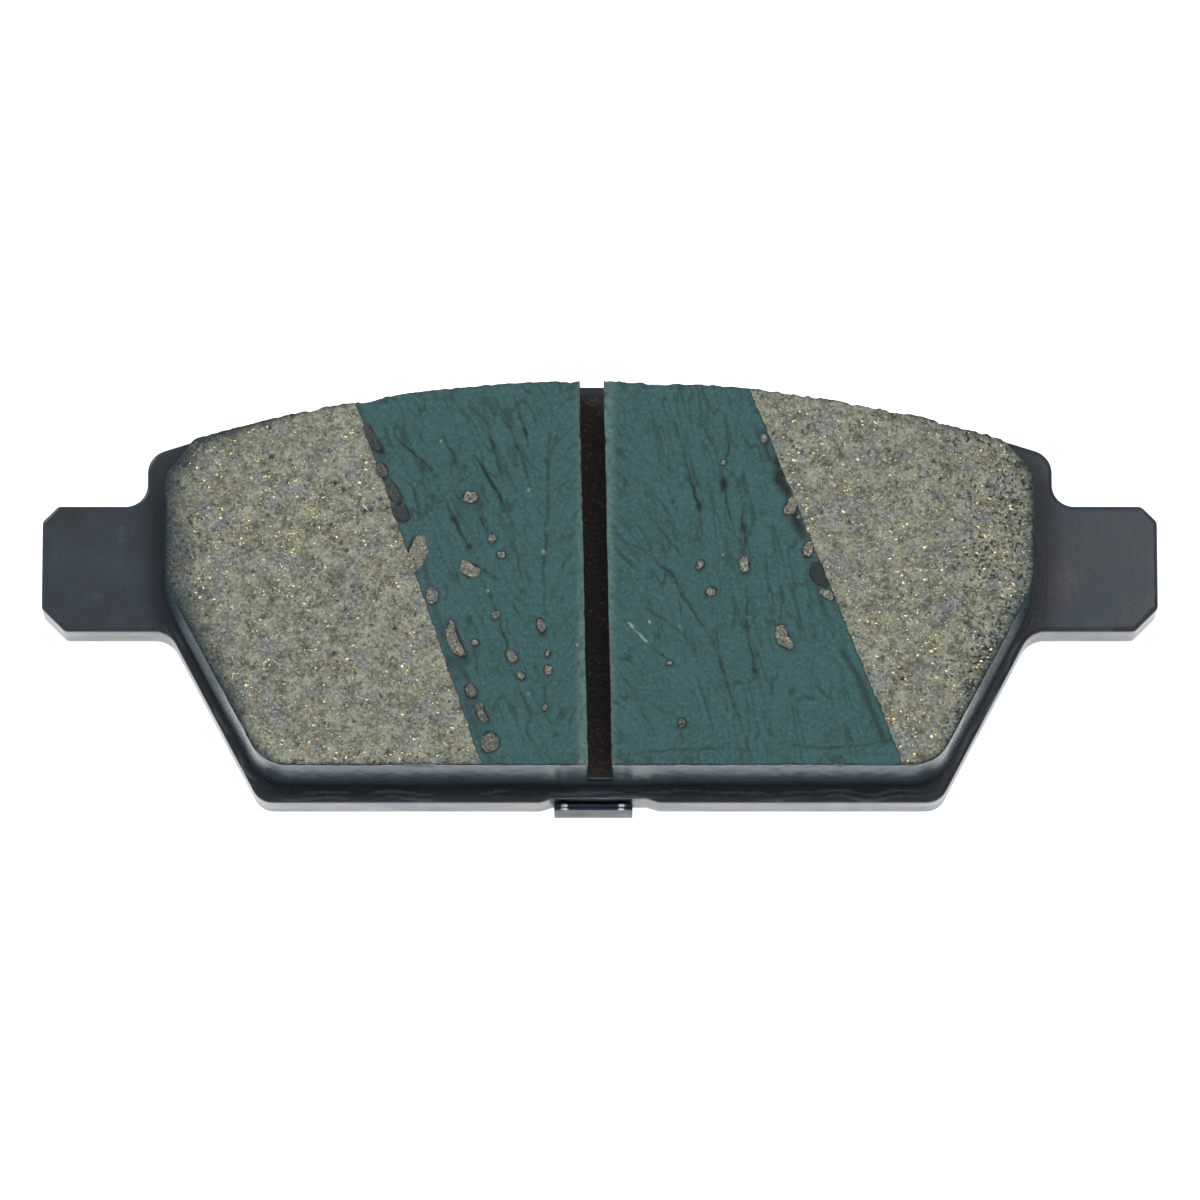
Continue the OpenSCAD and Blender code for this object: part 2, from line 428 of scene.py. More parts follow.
def linear(colour: str) -> tuple[float, float, float, float]:
    """Turns a colour linear.

    Args:
        colour: The colour, as sRGB hex.

    Returns:
        Linear red, green and blue, and an alpha of 1.
    """
    parts = [int(colour[i : i + 2], 16) / 255 for i in (1, 3, 5)]
    low, bend, power = 0.04045, 1.055, 2.4
    r, g, b = (c / 12.92 if c <= low else ((c + bend - 1) / bend) ** power for c in parts)
    return (r, g, b, 1.0)


def add_node(
    tree: bpy.types.NodeTree, kind: str, inputs: dict, out: str | int = 0, **settings: object
) -> bpy.types.NodeSocket | None:
    """Adds a shader node.

    Args:
        tree: The node tree.
        kind: The node's type, without its ShaderNode prefix.
        inputs: Values, or sockets to link, by the input's name or number.
        out: Name or number of the wanted output.
        **settings: The node's own properties.

    Returns:
        The wanted output, or None if the node has no outputs.
    """
    node = tree.nodes.new("ShaderNode" + kind)
    for name, value in settings.items():
        setattr(node, name, value)
    for name, value in inputs.items():
        if isinstance(value, bpy.types.NodeSocket):
            tree.links.new(value, node.inputs[name])
        else:
            node.inputs[name].default_value = value
    return node.outputs[out] if node.outputs else None


@dataclass(frozen=True)
class Noise:
    """A random pattern over a piece.

    Attributes:
        size_mm: Size of its features in millimetres.
        detail: How much finer detail it has.
        drawn: How many times longer than wide its features are, along X.
        shift: How far it is moved in metres, so that two patterns of one size differ.
        cells: Whether it has cells of one tone each, in place of clouds.
    """

    size_mm: float
    detail: float = 3.0
    drawn: float = 1.0
    shift: float = 0.0
    cells: bool = False

    def build(self, tree: bpy.types.NodeTree) -> bpy.types.NodeSocket:
        """Adds the pattern to a node tree.

        Args:
            tree: The material's node tree.

        Returns:
            Its value: from 0 to 1 for cells, and mostly from 0.25 to 0.75 for clouds.
        """
        place = add_node(tree, "TexCoord", {}, "Object")
        inputs = {"Vector": place, "Location": (self.shift, 0.0, 0.0), "Scale": (1 / self.drawn, 1.0, 1.0)}
        inputs = {"Vector": add_node(tree, "Mapping", inputs), "Scale": 1.0 / (self.size_mm * MM)}
        if self.cells:
            return add_node(tree, "SeparateColor", {0: add_node(tree, "TexVoronoi", inputs, "Color")})
        return add_node(tree, "TexNoise", inputs | {"Detail": self.detail})


@dataclass(frozen=True)
class Mask:
    """A weighted sum of patterns, moved into a range and held inside it.

    Attributes:
        terms: Weights by pattern. A name stands for the values that paint() stored under it.
        low: The sum that gives the least value.
        high: The sum that gives the most. It may lie below low.
        least: The value at low.
        most: The value at high.
    """

    terms: dict[Noise | str, float]
    low: float = 0.0
    high: float = 1.0
    least: float = 0.0
    most: float = 1.0

    def build(self, tree: bpy.types.NodeTree) -> bpy.types.NodeSocket:
        """Adds the mask to a node tree.

        Args:
            tree: The material's node tree.

        Returns:
            The mask's value.
        """
        total = 0.0
        for term, weight in self.terms.items():
            if isinstance(term, Noise):
                value = term.build(tree)
            else:
                value = add_node(tree, "Attribute", {}, "Fac", attribute_name=term)
            total = add_node(tree, "Math", {0: value, 1: weight, 2: total}, operation="MULTIPLY_ADD")
        return add_node(tree, "MapRange", {0: total, 1: self.low, 2: self.high, 3: self.least, 4: self.most})


@dataclass(frozen=True)
class Finish:
    """A material made of a base colour and layers of tint, with its own gloss and relief.

    Attributes:
        name: The material's name.
        base: Base colour, as sRGB hex.
        layers: Tints with the masks that show them, the lowest first.
        roughness: Roughness of the surface.
        metallic: 1 for bare metal.
        varied: Masks for other inputs of the shader, by their names.
        relief: Fine relief that is too small for the mesh.
        depth_mm: Its depth in millimetres.
        depth_share: How much of the relief shows.
    """

    name: str
    base: str
    layers: tuple[tuple[str, Mask], ...]
    roughness: Mask
    relief: Mask
    depth_mm: float
    depth_share: Mask | None = None
    metallic: float = 0.0
    varied: tuple[tuple[str, Mask], ...] = ()

    def build(self) -> bpy.types.Material:
        """Adds the finish to the file.

        Returns:
            The new material.
        """
        material = bpy.data.materials.new(self.name)
        material.use_nodes = True
        tree = material.node_tree
        tree.nodes.clear()
        colour = linear(self.base)
        for tint, mask in self.layers:
            inputs = {0: mask.build(tree), 6: colour, 7: linear(tint)}
            colour = add_node(tree, "Mix", inputs, 2, data_type="RGBA")
        bump = {"Height": self.relief.build(tree), "Distance": self.depth_mm * MM}
        if self.depth_share is not None:
            bump["Strength"] = self.depth_share.build(tree)
        inputs = {"Base Color": colour, "Roughness": self.roughness.build(tree), "Metallic": self.metallic}
        inputs["Normal"] = add_node(tree, "Bump", bump)
        inputs |= {name: mask.build(tree) for name, mask in self.varied}
        add_node(tree, "OutputMaterial", {"Surface": add_node(tree, "BsdfPrincipled", inputs)})
        return material


# Blue-black powder coat, sprayed dry on stamped steel and baked. It flows out to a satin skin with a
# soft orange peel, so lamps show as broad, slightly broken highlights, and the sides mirror the
# floor. The ledge beside the lining is painted darker and duller: partly black overspray from the
# lining's edges, partly painted shade from its wall. Lighter lines along the lining are painted
# highlights, and the lighter patches on the ears are dust. The dust on it would be finer than a
# picture shows, so it is drawn at 0.16 mm.
POWDER_COAT = Finish(
    name="powder_coat",
    base="#16242f",
    layers=(
        ("#0e1922", Mask({Noise(6.0): 1.0}, 0.5, 0.3)),
        ("#1f313f", Mask({Noise(6.0): 1.0}, 0.5, 0.72)),
        # Darker beside the lining: overspray, and painted shade from the lining's wall.
        ("#0d1620", Mask({"overspray_and_shade": 1.0, Noise(0.5): 0.4}, 0.25, 1.2, 0.0, 0.85)),
        ("#4a5963", Mask({Noise(0.16, 1.0): 1.0}, 0.66, 0.78, 0.0, 0.35)),
        # Painted highlight lines along the lining, and dust on the ears.
        ("#55636c", Mask({"dust_and_sheen": 1.0, Noise(0.35, 2.0): 0.5}, 0.45, 1.2, 0.0, 0.5)),
    ),
    roughness=Mask({Noise(6.0): 1.0, "overspray_and_shade": 0.35}, 0.3, 0.7, 0.23, 0.34),
    relief=Mask({Noise(0.9, 2.0): 1.0, Noise(0.2, 2.0): 0.35}, 0.0, 1.35, 0.0, 1.35),
    depth_mm=0.02,
    varied=(("Specular IOR Level", Mask({"overspray_and_shade": 1.0}, 0.0, 1.0, 0.47, 0.32)),),
)

# Hot-pressed friction compound, ground flat on its face and painted black on its edges. Grinding
# leaves a matt, olive grey matrix of resin and mineral with paler and bluish granules and open
# pores; the pores are painted near black as painted shade. The paint follows the pressed edge, where
# it is glossy enough to mirror the floor, and lies over the face's rim as a thin mist. The vent slot
# is painted dark as painted shade, and is rougher and holds brown dust. A pale band just under the
# face's lower edge is a painted highlight. The finest mineral is drawn at 0.11 mm, which is coarser
# than the real powder.
FRICTION_COMPOUND = Finish(
    name="friction_compound",
    base="#7a7c6e",
    layers=(
        ("#5e6056", Mask({Noise(1.2, 6.0): 1.0}, 0.5, 0.36, 0.0, 0.9)),
        ("#949683", Mask({Noise(1.2, 6.0): 1.0}, 0.5, 0.66)),
        ("#757b82", Mask({Noise(2.6, 5.0): 1.0}, 0.5, 0.66, 0.0, 0.7)),
        ("#857c62", Mask({Noise(2.6, 5.0, shift=0.4): 1.0}, 0.54, 0.7, 0.0, 0.65)),
        ("#2c2d2c", Mask({Noise(0.23, cells=True): 1.0}, 0.42, 0.0, 0.0, 0.42)),
        ("#babaa6", Mask({Noise(0.23, cells=True): 1.0}, 0.55, 1.0, 0.0, 0.46)),
        ("#c2c2ac", Mask({Noise(0.12, 2.0): 1.0}, 0.57, 0.74, 0.0, 0.42)),
        ("#1f1e1b", Mask({Noise(0.3): 1.0, "grit": -0.12}, 0.355, 0.3, 0.0, 0.8)),
        # Pores painted near black: painted shade in the pits.
        ("#171614", Mask({"pore": 1.0})),
        ("#25333a", Mask({"mist": 1.0, Noise(0.11, 2.0): 0.8}, 0.5, 1.3)),
        # The slot painted dark as painted shade; the next layer adds its brown dust.
        ("#383634", Mask({"slot_shade_and_dust": 1.0}, 0.0, 1.0)),
        ("#77603f", Mask({"slot_shade_and_dust": 1.0, Noise(0.3, 2.0): 1.0}, 1.58, 1.7, 0.0, 0.7)),
        # A painted highlight just under the face's lower edge.
        ("#82908f", Mask({"rim_highlight": 1.0})),
    ),
    roughness=Mask({"mist": 1.0, Noise(0.11, 2.0): 0.8, "slot_shade_and_dust": -2.0, "matt": -0.45}, 0.98, 1.3, 0.85, 0.21),
    relief=Mask({Noise(0.11, 2.0): 1.0, Noise(0.3): 1.0}, 0.0, 2.0, 0.0, 2.0),
    depth_mm=0.04,
    depth_share=Mask({"mist": 1.0, Noise(0.11, 2.0): 0.8, "slot_shade_and_dust": -1.0}, 0.98, 1.3, 1.0, 0.12),
    varied=(("Specular IOR Level", Mask({"slot_shade_and_dust": 1.0, "matt": -0.6}, -1.0, 1.0, 0.0, 0.25)),),
)

# Chips of brass wire, cut when the face was ground: the fresh cuts mirror the light as pale yellow
# points, and those smeared with resin stay dull.
BRASS_CHIP = Finish(
    name="brass_chip",
    base="#c5ba86",
    layers=(
        ("#8f8a66", Mask({"tone": 1.0}, 0.45, 0.0)),
        ("#f6ecb4", Mask({"tone": 1.0}, 0.45, 0.8)),
        ("#fffae2", Mask({"tone": 1.0}, 0.8, 1.0)),
        ("#bd9a72", Mask({"tone": 1.0}, 0.16, 0.12, 0.0, 0.7)),
    ),
    roughness=Mask({Noise(0.08, 1.0): 1.0}, 0.3, 0.7, 0.3, 0.42),
    relief=Mask({Noise(0.08, 1.0): 1.0}),
    depth_mm=0.01,
    metallic=1.0,
)

# Green abrasive break-in coating, rolled wet onto the lining and air dried. The roller leaves a
# matt, leathery skin with a fine nap, and drags it into creases, which are drawn darker. The same
# dark tint paints the shadows that the crumbs cast and a line of painted shade along the film's edges.
BREAK_IN_COAT = Finish(
    name="break_in_coat",
    base="#325657",
    layers=(
        ("#1b383b", Mask({Noise(0.15): 0.55, Noise(0.4, 2.0): 0.45}, 0.5, 0.28, 0.0, 0.85)),
        ("#4c7475", Mask({Noise(0.15): 0.55, Noise(0.4, 2.0): 0.45}, 0.5, 0.72, 0.0, 0.85)),
        ("#3d6365", Mask({Noise(3.5, 4.0): 1.0}, 0.4, 0.65, 0.0, 0.35)),
        ("#23474a", Mask({Noise(0.8, 4.0, shift=0.3): 1.0}, 0.5, 0.7, 0.0, 0.5)),
        # Darker creases, with the crumbs' painted shadows and painted shade along the edges.
        ("#121a1e", Mask({"crease_and_shadow": 1.6, Noise(0.15): -0.3}, -0.07, 0.95)),
        ("#a9b8b4", Mask({"scuff": 1.0})),
    ),
    roughness=Mask({Noise(0.15): 1.0}, 0.3, 0.7, 0.72, 0.9),
    relief=Mask({Noise(0.15): 0.8, Noise(0.4, 2.0): 0.5}, 0.0, 1.3, 0.0, 1.3),
    depth_mm=0.025,
)

# Grinding dust of the compound, caked and stuck in the wet coating: crumbly and matt. The lumps
# that the roller drowned are stained dark.
STUCK_DUST = Finish(
    name="stuck_dust",
    base="#747263",
    layers=(
        ("#34352f", Mask({Noise(0.3): 1.0}, 0.5, 0.36)),
        ("#b4b19d", Mask({Noise(0.22): 1.0}, 0.52, 0.66)),
        ("#6a7173", Mask({Noise(0.7): 1.0}, 0.5, 0.62, 0.0, 0.6)),
        ("#293134", Mask({"shade": 1.0, Noise(0.3): 0.5}, 0.25, 1.25)),
    ),
    roughness=Mask({Noise(0.17): 1.0}, 0.3, 0.7, 0.85, 0.95),
    relief=Mask({Noise(0.17): 1.0}),
    depth_mm=0.06,
)

# Cold-rolled steel sheet of the shim, left bare, with a passivated grey skin. Rolling leaves fine
# lines along the sheet, so its highlights are drawn out across them. The cut ends of the tabs are
# blued dark, and pale spots near their corners are painted glints.
ROLLED_STEEL = Finish(
    name="rolled_steel",
    base="#3c4042",
    layers=(
        ("#33383a", Mask({Noise(1.8): 1.0}, 0.5, 0.32)),
        ("#5c6061", Mask({Noise(0.12, 2.0, drawn=16.0): 1.0}, 0.4, 0.7, 0.0, 0.4)),
        ("#333848", Mask({"cut": 1.0, Noise(0.25): -0.6}, 0.0, 0.75)),
        # Painted glints about 1 mm in from the corners of the tabs' ends.
        ("#dfe6e6", Mask({"glint": 1.0, Noise(0.3): 1.6}, 1.35, 1.75)),
    ),
    roughness=Mask({Noise(1.8): 1.0}, 0.3, 0.7, 0.36, 0.5),
    relief=Mask({Noise(0.12, 2.0, drawn=16.0): 1.0, Noise(0.3): 1.0}, 0.0, 2.0, 0.0, 2.0),
    depth_mm=0.006,
    metallic=1.0,
)

# Nitrile rubber coat, roller coated on the shim's steel and cured: a matt black skin with a fine,
# dusty grain.
NITRILE_RUBBER = Finish(
    name="nitrile_rubber",
    base="#1d1e20",
    layers=(("#37393b", Mask({Noise(5.0, 4.0): 1.0}, 0.35, 0.8)),),
    roughness=Mask({Noise(0.3): 1.0}, 0.3, 0.7, 0.6, 0.78),
    relief=Mask({Noise(0.3): 1.0}),
    depth_mm=0.015,
)

# Soft damping layer between the sheets, of which only the black cut edge shows.
DAMPING_CORE = replace(
    NITRILE_RUBBER,
    name="damping_core",
    base="#0f1012",
    layers=(("#1c1e21", Mask({Noise(5.0, 4.0): 1.0}, 0.35, 0.8)),),
)

# The black paint of the lining's edge where it runs down over the underlayer and the glue line.
PAINTED_EDGE = replace(
    POWDER_COAT,
    name="painted_edge",
    base="#14191e",
    layers=(("#1c2228", Mask({Noise(6.0): 1.0}, 0.3, 0.75)),),
    roughness=Mask({Noise(6.0): 1.0}, 0.3, 0.7, 0.26, 0.36),
    varied=(),
)


# ---------------------------------------------------------------- the lining


class Zone(Enum):
    """Where a point of the face's edge lies, with its largest break in millimetres."""

    ARCH = 0.42
    FLANK = 0.12
    SLOT = 0.07


@dataclass
class Lining:
    """The friction block: two towers beside the vent slot, on one base.

    Attributes:
        step: Distance between vertices along its edges.
        face_step: Distance between vertices on its face.
        draft: How far its base stands out from its face.
        healed: Depth at which the breaks of its edges end.
        healed_arch: The same for the arched edge.
        relief: Depth of the ground face's texture.
        pores: Number of open pores.
        slot_columns: Strips of faces across the slot's floor.
        levels: Depths of the rows of vertices down the walls, as shares of the slot's depth.
        face_z: The face's height.
        base_z: The base's height.
        floor_z: The slot floor's height.
    """

    step: float = 0.17 * MM
    face_step: float = 0.26 * MM
    draft: float = 0.3 * MM
    healed: float = 0.75 * MM
    healed_arch: float = 1.9 * MM
    relief: float = 0.022 * MM
    pores: int = 620
    slot_columns: int = 10
    levels: Sequence[float] = (0.035, 0.09, 0.19, 0.31, 0.44, 0.57, 0.7, 0.83, 0.92, 1.0)
    face_z: float = field(init=False)
    base_z: float = field(init=False)
    floor_z: float = field(init=False)

    def __post_init__(self) -> None:
        """Reads the block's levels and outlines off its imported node, and spreads its pores."""
        low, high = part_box("friction_block")
        self.face_z, self.base_z = high[2], low[2]
        self.floor_z = self._slot_floor()
        self.towers = sorted(top_outlines("friction_block"), key=lambda o: o.points[:, 0].mean())
        rng = np.random.default_rng(41)
        self.pore_places = rng.uniform((low[0], low[1]), (high[0], high[1]), (self.pores, 2))
        self.pore_sizes = rng.uniform(0.12, 0.3, self.pores) ** 1.2 * MM

    def _slot_floor(self) -> float:
        """Finds the slot's floor: the only flat level between the base and the face.

        Returns:
            Its height.
        """
        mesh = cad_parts["friction_block"].data
        flat = [p.center.z for p in mesh.polygons if abs(p.normal.z) > 0.999]
        return next(z for z in flat if self.base_z + 0.5 * MM < z < self.face_z - 0.5 * MM)

    def pore(self, places: Array) -> Array:
        """How deep in an open pore each place is, from 0 outside to 1 in the middle."""
        distance, which = nearest(places, self.pore_places)
        return 1.0 - smooth_step(distance / self.pore_sizes[which], 0.55, 1.1)

    def height(self, places: Array) -> Array:
        """The ground face's height at each place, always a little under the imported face."""
        texture = self.relief * (1.1 + rough(places, 0.55 * MM, 7))
        return self.face_z - texture - 0.10 * MM * self.pore(places)

    def breaks(self, outline: Outline) -> Array:
        """How far the face's edge has broken back.

        Args:
            outline: A tower's outline.

        Returns:
            One distance per point of the outline.
        """
        places, out = outline.points, outline.normals()
        slot = (self.from_middle(places) < 1.35 * MM) & (np.abs(out[:, 0]) > FACING)
        size = np.where(out[:, 1] > FACING, Zone.ARCH.value, Zone.FLANK.value)
        size = np.where(slot, Zone.SLOT.value, size) * MM
        wave = 0.5 + 0.6 * rough(places, 0.6 * MM, 23)
        chips = smooth_step(grain(places, 1.7 * MM, 31), 0.35, 0.8)
        patchy = 0.35 + 0.65 * smooth_step(grain(places, 4.0 * MM, 45), -0.4, 0.5)
        return size * patchy * (0.15 + 0.75 * np.clip(wave, 0, 1) + 0.9 * chips)

    def slot_side(self, tower: int) -> Array:
        """The two ends of a tower's straight side along the slot, in the outline's order."""
        return self.towers[tower].longest_first().points[:2]

    def from_middle(self, places: Array) -> Array:
        """How far each place lies from the slot's middle line."""
        ends = (self.slot_side(0) + self.slot_side(1)[::-1]) / 2
        return np.abs(places[:, 0] - np.interp(places[:, 1], ends[:, 1], ends[:, 0]))

    def edge(self, tower: int) -> tuple[Outline, int]:
        """A tower's outline with the slot side first, finely divided.

        Args:
            tower: 0 for the left tower and 1 for the right one.

        Returns:
            The outline, and how many parts the slot side has.
        """
        outline = self.towers[tower].longest_first()
        sides = outline.sides()
        slot_parts = round(sides[0] / self.step)
        rest = np.vstack([outline.points[1:], outline.points[:1]])
        fine = [spaced(outline.points[:2], slot_parts), spaced(rest, round(sides[1:].sum() / self.step))]
        return Outline(np.vstack([part[:-1] for part in fine])), slot_parts

    def build(self) -> bpy.types.Object:
        """Makes the block: faces, walls, slot and base, as one closed mesh.

        Returns:
            The piece, with pores and edge paint stored on it.
        """
        shell = Shell()
        slot_rows, outer_rows = zip(*[self._tower(shell, tower) for tower in (0, 1)])
        self._base(shell, self._slot_bed(shell, slot_rows, outer_rows))
        piece = shell.finished("friction_lining")
        self._paint(piece, shell.points)
        return piece

    def _tower(self, shell: Shell, tower: int) -> tuple[Array, Array]:
        """Makes a tower's face, and its walls down to the slot's floor.

        Args:
            shell: The block's shell.
            tower: 0 for the left tower and 1 for the right one.

        Returns:
            Its lowest vertices along the slot, and those round the outside.
        """
        outline, slot_parts = self.edge(tower)
        out = outline.normals()
        out[[0, slot_parts]] = out[[1, slot_parts - 1]]
        on_slot = np.arange(len(out)) <= slot_parts
        broken = self.breaks(outline)
        healed = np.where(out[:, 1] > FACING, self.healed_arch, self.healed)
        wall = 0.012 * MM * (1 + rough(outline.points, 1.1 * MM, 57))
        rim = outline.points - out * broken[:, None]
        rows = [shell.add(rim, self.height(rim) - 0.25 * broken)]
        inner = scattered(Outline(rim), self.face_step, 0.6 * self.face_step, 5 + tower)
        shell.cap(rows, inner, self.height)
        for level in self.levels:
            down = level * (self.face_z - self.floor_z)
            back = broken * np.clip(1.0 - down / healed, 0.0, 1.0) ** 1.5
            lean = np.where(on_slot, 0.0, self.draft * down / (self.face_z - self.base_z))
            bumps = grain(outline.points + np.array([0.0, down]), 0.8 * MM, 61)
            bumps *= 0.025 * MM * np.where(on_slot, 0.6, 1.0)
            places = outline.points + out * (lean - back + bumps - wall)[:, None]
            rows.append(shell.add(places, self.face_z - down))
        shell.band(rows)
        return rows[-1][: slot_parts + 1], np.append(rows[-1][slot_parts:], rows[-1][0])

    def _slot_bed(self, shell: Shell, slot_rows: Sequence[Array], outer_rows: Sequence[Array]) -> Array:
        """Joins the towers with the slot's rough floor.

        Args:
            shell: The block's shell.
            slot_rows: Each tower's lowest vertices along the slot.
            outer_rows: Each tower's lowest vertices round the outside.

        Returns:
            The whole outline at the floor's level, as vertex numbers.
        """
        left, right = slot_rows[0], slot_rows[1][::-1]
        a, b = (shell.points[row][:, :2] for row in (left, right))
        b = b[np.linspace(0, len(right) - 1, len(left)).round().astype(int)]
        columns = [left]
        for k in range(1, self.slot_columns):
            share = k / self.slot_columns
            places = a * (1 - share) + b * share
            columns.append(shell.add(places, self.floor_z + 0.09 * MM * rough(places, 0.5 * MM, 71)))
        shell.band(columns, closed=False)
        self._stitch(shell, columns[-1], right)
        low_bridge = [column[0] for column in columns[1:]]
        high_bridge = [column[-1] for column in columns[:0:-1]]
        return np.concatenate([outer_rows[0], low_bridge, outer_rows[1], high_bridge]).astype(int)

    @staticmethod
    def _stitch(shell: Shell, first: Array, second: Array) -> None:
        """Joins two rows of vertices with triangles.

        Args:
            shell: The block's shell.
            first: One row of vertex numbers.
            second: The other row, which may be longer or shorter.
        """
        i = j = 0
        while i < len(first) - 1 or j < len(second) - 1:
            ahead = (i + 1) * (len(second) - 1) <= (j + 1) * (len(first) - 1)
            if j == len(second) - 1 or (ahead and i < len(first) - 1):
                shell.faces.append((first[i], second[j], first[i + 1]))
                i += 1
            else:
                shell.faces.append((first[i], second[j], second[j + 1]))
                j += 1

    def _base(self, shell: Shell, ring: Array) -> None:
        """Closes the block below the slot's floor.

        Args:
            shell: The block's shell.
            ring: The whole outline at the floor's level, as vertex numbers.
        """
        rows = [ring]
        drop = self.floor_z - self.base_z
        for share in (0.5, 1.0):
            places = shell.points[rows[-1]][:, :2]
            away = places - places.mean(axis=0)
            away /= np.linalg.norm(away, axis=1, keepdims=True)
            grow = self.draft * 0.5 * drop / (self.face_z - self.base_z)
            rows.append(shell.add(places + away * grow, self.floor_z - share * drop))
        shell.band(rows)
        shell.cap(rows[-1:])

    def from_edge(self, places: Array) -> Array:
        """How far each place lies from the face's outer edge, in millimetres."""
        edge = np.vstack([tower.resampled(0.2 * MM).points for tower in self.towers])
        return nearest(places, edge[self.from_middle(edge) > 1.5 * MM])[0] / MM

    def mist(self, places: Array, distance: Array) -> Array:
        """How thickly the edge paint lies over the face's rim.

        Args:
            places: Points on the face.
            distance: How far each is from the outer edge, in millimetres.

        Returns:
            Values from 0 to about 1.
        """
        x, y = places.T / MM
        left, right = smooth_step(-x, 30, 42), smooth_step(x, 28, 42)
        reach = 0.22 + (1.9 * left + 0.5 * right) * (1.0 + 0.6 * rough(places, 2.6 * MM, 83))
        thin = 1.15 - 0.22 * left - 0.3 * right
        line = 0.6 + 0.5 * smooth_step(-y, -8, 2)
        return np.maximum(thin * np.exp(-distance / reach), line * bell(distance, 0.0, 0.2))

    def _paint(self, piece: bpy.types.Object, points: Array) -> None:
        """Stores pores, grit, edge paint, painted slot shade and a painted rim highlight per vertex.

        Args:
            piece: The block.
            points: Its vertices.
        """
        flat = points[:, :2]
        x, y = flat.T / MM
        depth = self.face_z - points[:, 2]
        up = depth < 0.2 * MM
        left, right = (self.slot_side(i) for i in (0, 1))
        middle = self.from_middle(flat)
        # Deep in the slot: painted dark as painted shade, and holding brown dust.
        slot_shade_and_dust = (middle < (right[0, 0] - left[1, 0]) / 2 + 0.06 * MM) & (depth > 0.3 * MM)
        slot_shade_and_dust &= depth < self.face_z - self.floor_z + 0.15 * MM
        slot_shade_and_dust &= (flat[:, 1] > left[:, 1].min() + 0.1 * MM) & (flat[:, 1] < left[:, 1].max() - 0.1 * MM)
        distance = self.from_edge(flat)
        # The slot's rim takes the dark edge tint too, as painted shade.
        mist = np.maximum(self.mist(flat, distance), 1.0 - smooth_step(middle / MM, 1.25, 1.42))
        flank = smooth_step(np.abs(x), 33, 37) * smooth_step(y, -17, -10)
        gritty = smooth_step(x, 32, 39) * (0.7 + 0.5 * rough(flat, 3.0 * MM, 87))
        gritty += 0.35 * smooth_step(-x, 36, 43) + 0.4 * np.exp(-distance / 0.7)
        low_edge = smooth_step(-y, -2, 12) * (distance < 1.0)
        flecks = 0.35 + 0.4 * grain(flat, 1.6 * MM, 91) + 0.35 * grain(flat, 0.42 * MM, 93)
        for name, values in (
            ("slot_shade_and_dust", slot_shade_and_dust),
            ("mist", np.where(up, mist, 1.2)),
            ("matt", np.where(up, 0.0, flank)),
            ("grit", np.clip(gritty, 0, 1.3)),
            # Pores painted dark: painted shade in the pits.
            ("pore", np.where(up, 0.85 * self.pore(flat), 0.0)),
            # A painted highlight just under the face's lower edge.
            ("rim_highlight", bell(depth / MM, 0.23, 0.07) * low_edge * np.clip(flecks, 0, 1)),
        ):
            paint(piece, name, values)


@dataclass
class BrassChips:
    """Chips of brass wire that show in the ground face.

    Attributes:
        density: Chips per square millimetre of open face.
        size: Shortest and longest usual length.
        corners: Number of corners of a chip.
        clusters: Number of spots where several chips lie close together.
        crowd: Number of chips that are tried in each of them.
    """

    density: float = 2.7
    size: tuple[float, float] = (0.14 * MM, 0.68 * MM)
    corners: int = 7
    clusters: int = 150
    crowd: int = 7

    def build(self, lining: Lining, covered: Sequence[Outline]) -> bpy.types.Object:
        """Scatters the chips over the part of the face that no coating covers.

        Args:
            lining: The friction block.
            covered: Outlines of the coated areas.

        Returns:
            The piece, with each chip's tone stored on it.
        """
        rng = np.random.default_rng(97)
        low, high = (corner[:2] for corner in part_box("friction_block"))
        count = int(self.density * (high[0] - low[0]) * (high[1] - low[1]) / MM**2)
        places = rng.uniform(low, high, (count, 2))
        clumps = grain(places, 4.5 * MM, 3) + 0.5 * grain(places, 1.4 * MM, 9)
        places = places[clumps > rng.uniform(-1.3, 1.1, count)]
        spots = np.repeat(rng.uniform(low, high, (self.clusters, 2)), self.crowd, axis=0)
        places = np.vstack([places, spots + rng.normal(0, 0.38 * MM, spots.shape)])
        bare = np.any([tower.holds(places) for tower in lining.towers], axis=0)
        bare &= ~np.any([outline.holds(places) for outline in covered], axis=0)
        places = places[bare]
        rims = np.vstack([tower.resampled(0.3 * MM).points for tower in lining.towers])
        places = places[nearest(places, rims)[0] > 0.45 * MM]
        cover = lining.mist(places, lining.from_edge(places))
        places = places[1.4 * cover < rng.uniform(0.1, 1.0, len(places))]
        shell = Shell()
        tones = [self._chip(shell, rng, *spot) for spot in zip(places, lining.height(places))]
        piece = shell.finished("brass_chips")
        paint(piece, "tone", np.repeat(tones, 2 * self.corners))
        return piece

    def _chip(self, shell: Shell, rng: np.random.Generator, place: Array, height: float) -> float:
        """Adds one chip.

        Args:
            shell: The chips' shell.
            rng: Source of random numbers.
            place: The chip's place.
            height: The face's height there.

        Returns:
            Its tone, from 0, dull, to 1, bright.
        """
        angles = np.linspace(0, math.tau, self.corners, endpoint=False)
        length = self.size[0] + (self.size[1] - self.size[0]) * rng.beta(1.3, 3.2)
        width = length * rng.uniform(0.3, 0.75)
        turn, lean = rng.normal(0.1, 0.55), rng.uniform(0, math.tau)
        tilt = rng.uniform(0.0, 0.22)
        reach = rng.uniform(0.7, 1.15, self.corners) / 2
        rim = turned(np.cos(angles) * reach * length, np.sin(angles) * reach * width, turn)
        rise = tilt * (rim[:, 0] * math.cos(lean) + rim[:, 1] * math.sin(lean))
        ring = shell.add(rim + place, height + 0.006 * MM + rise)
        foot = shell.add(rim * 1.1 + place, height - 0.05 * MM)
        shell.band([ring, foot])
        shell.faces += [tuple(ring[::-1]), tuple(foot)]
        return rng.beta(1.6, 1.5)


# ---------------------------------------------------------------- the break-in coating


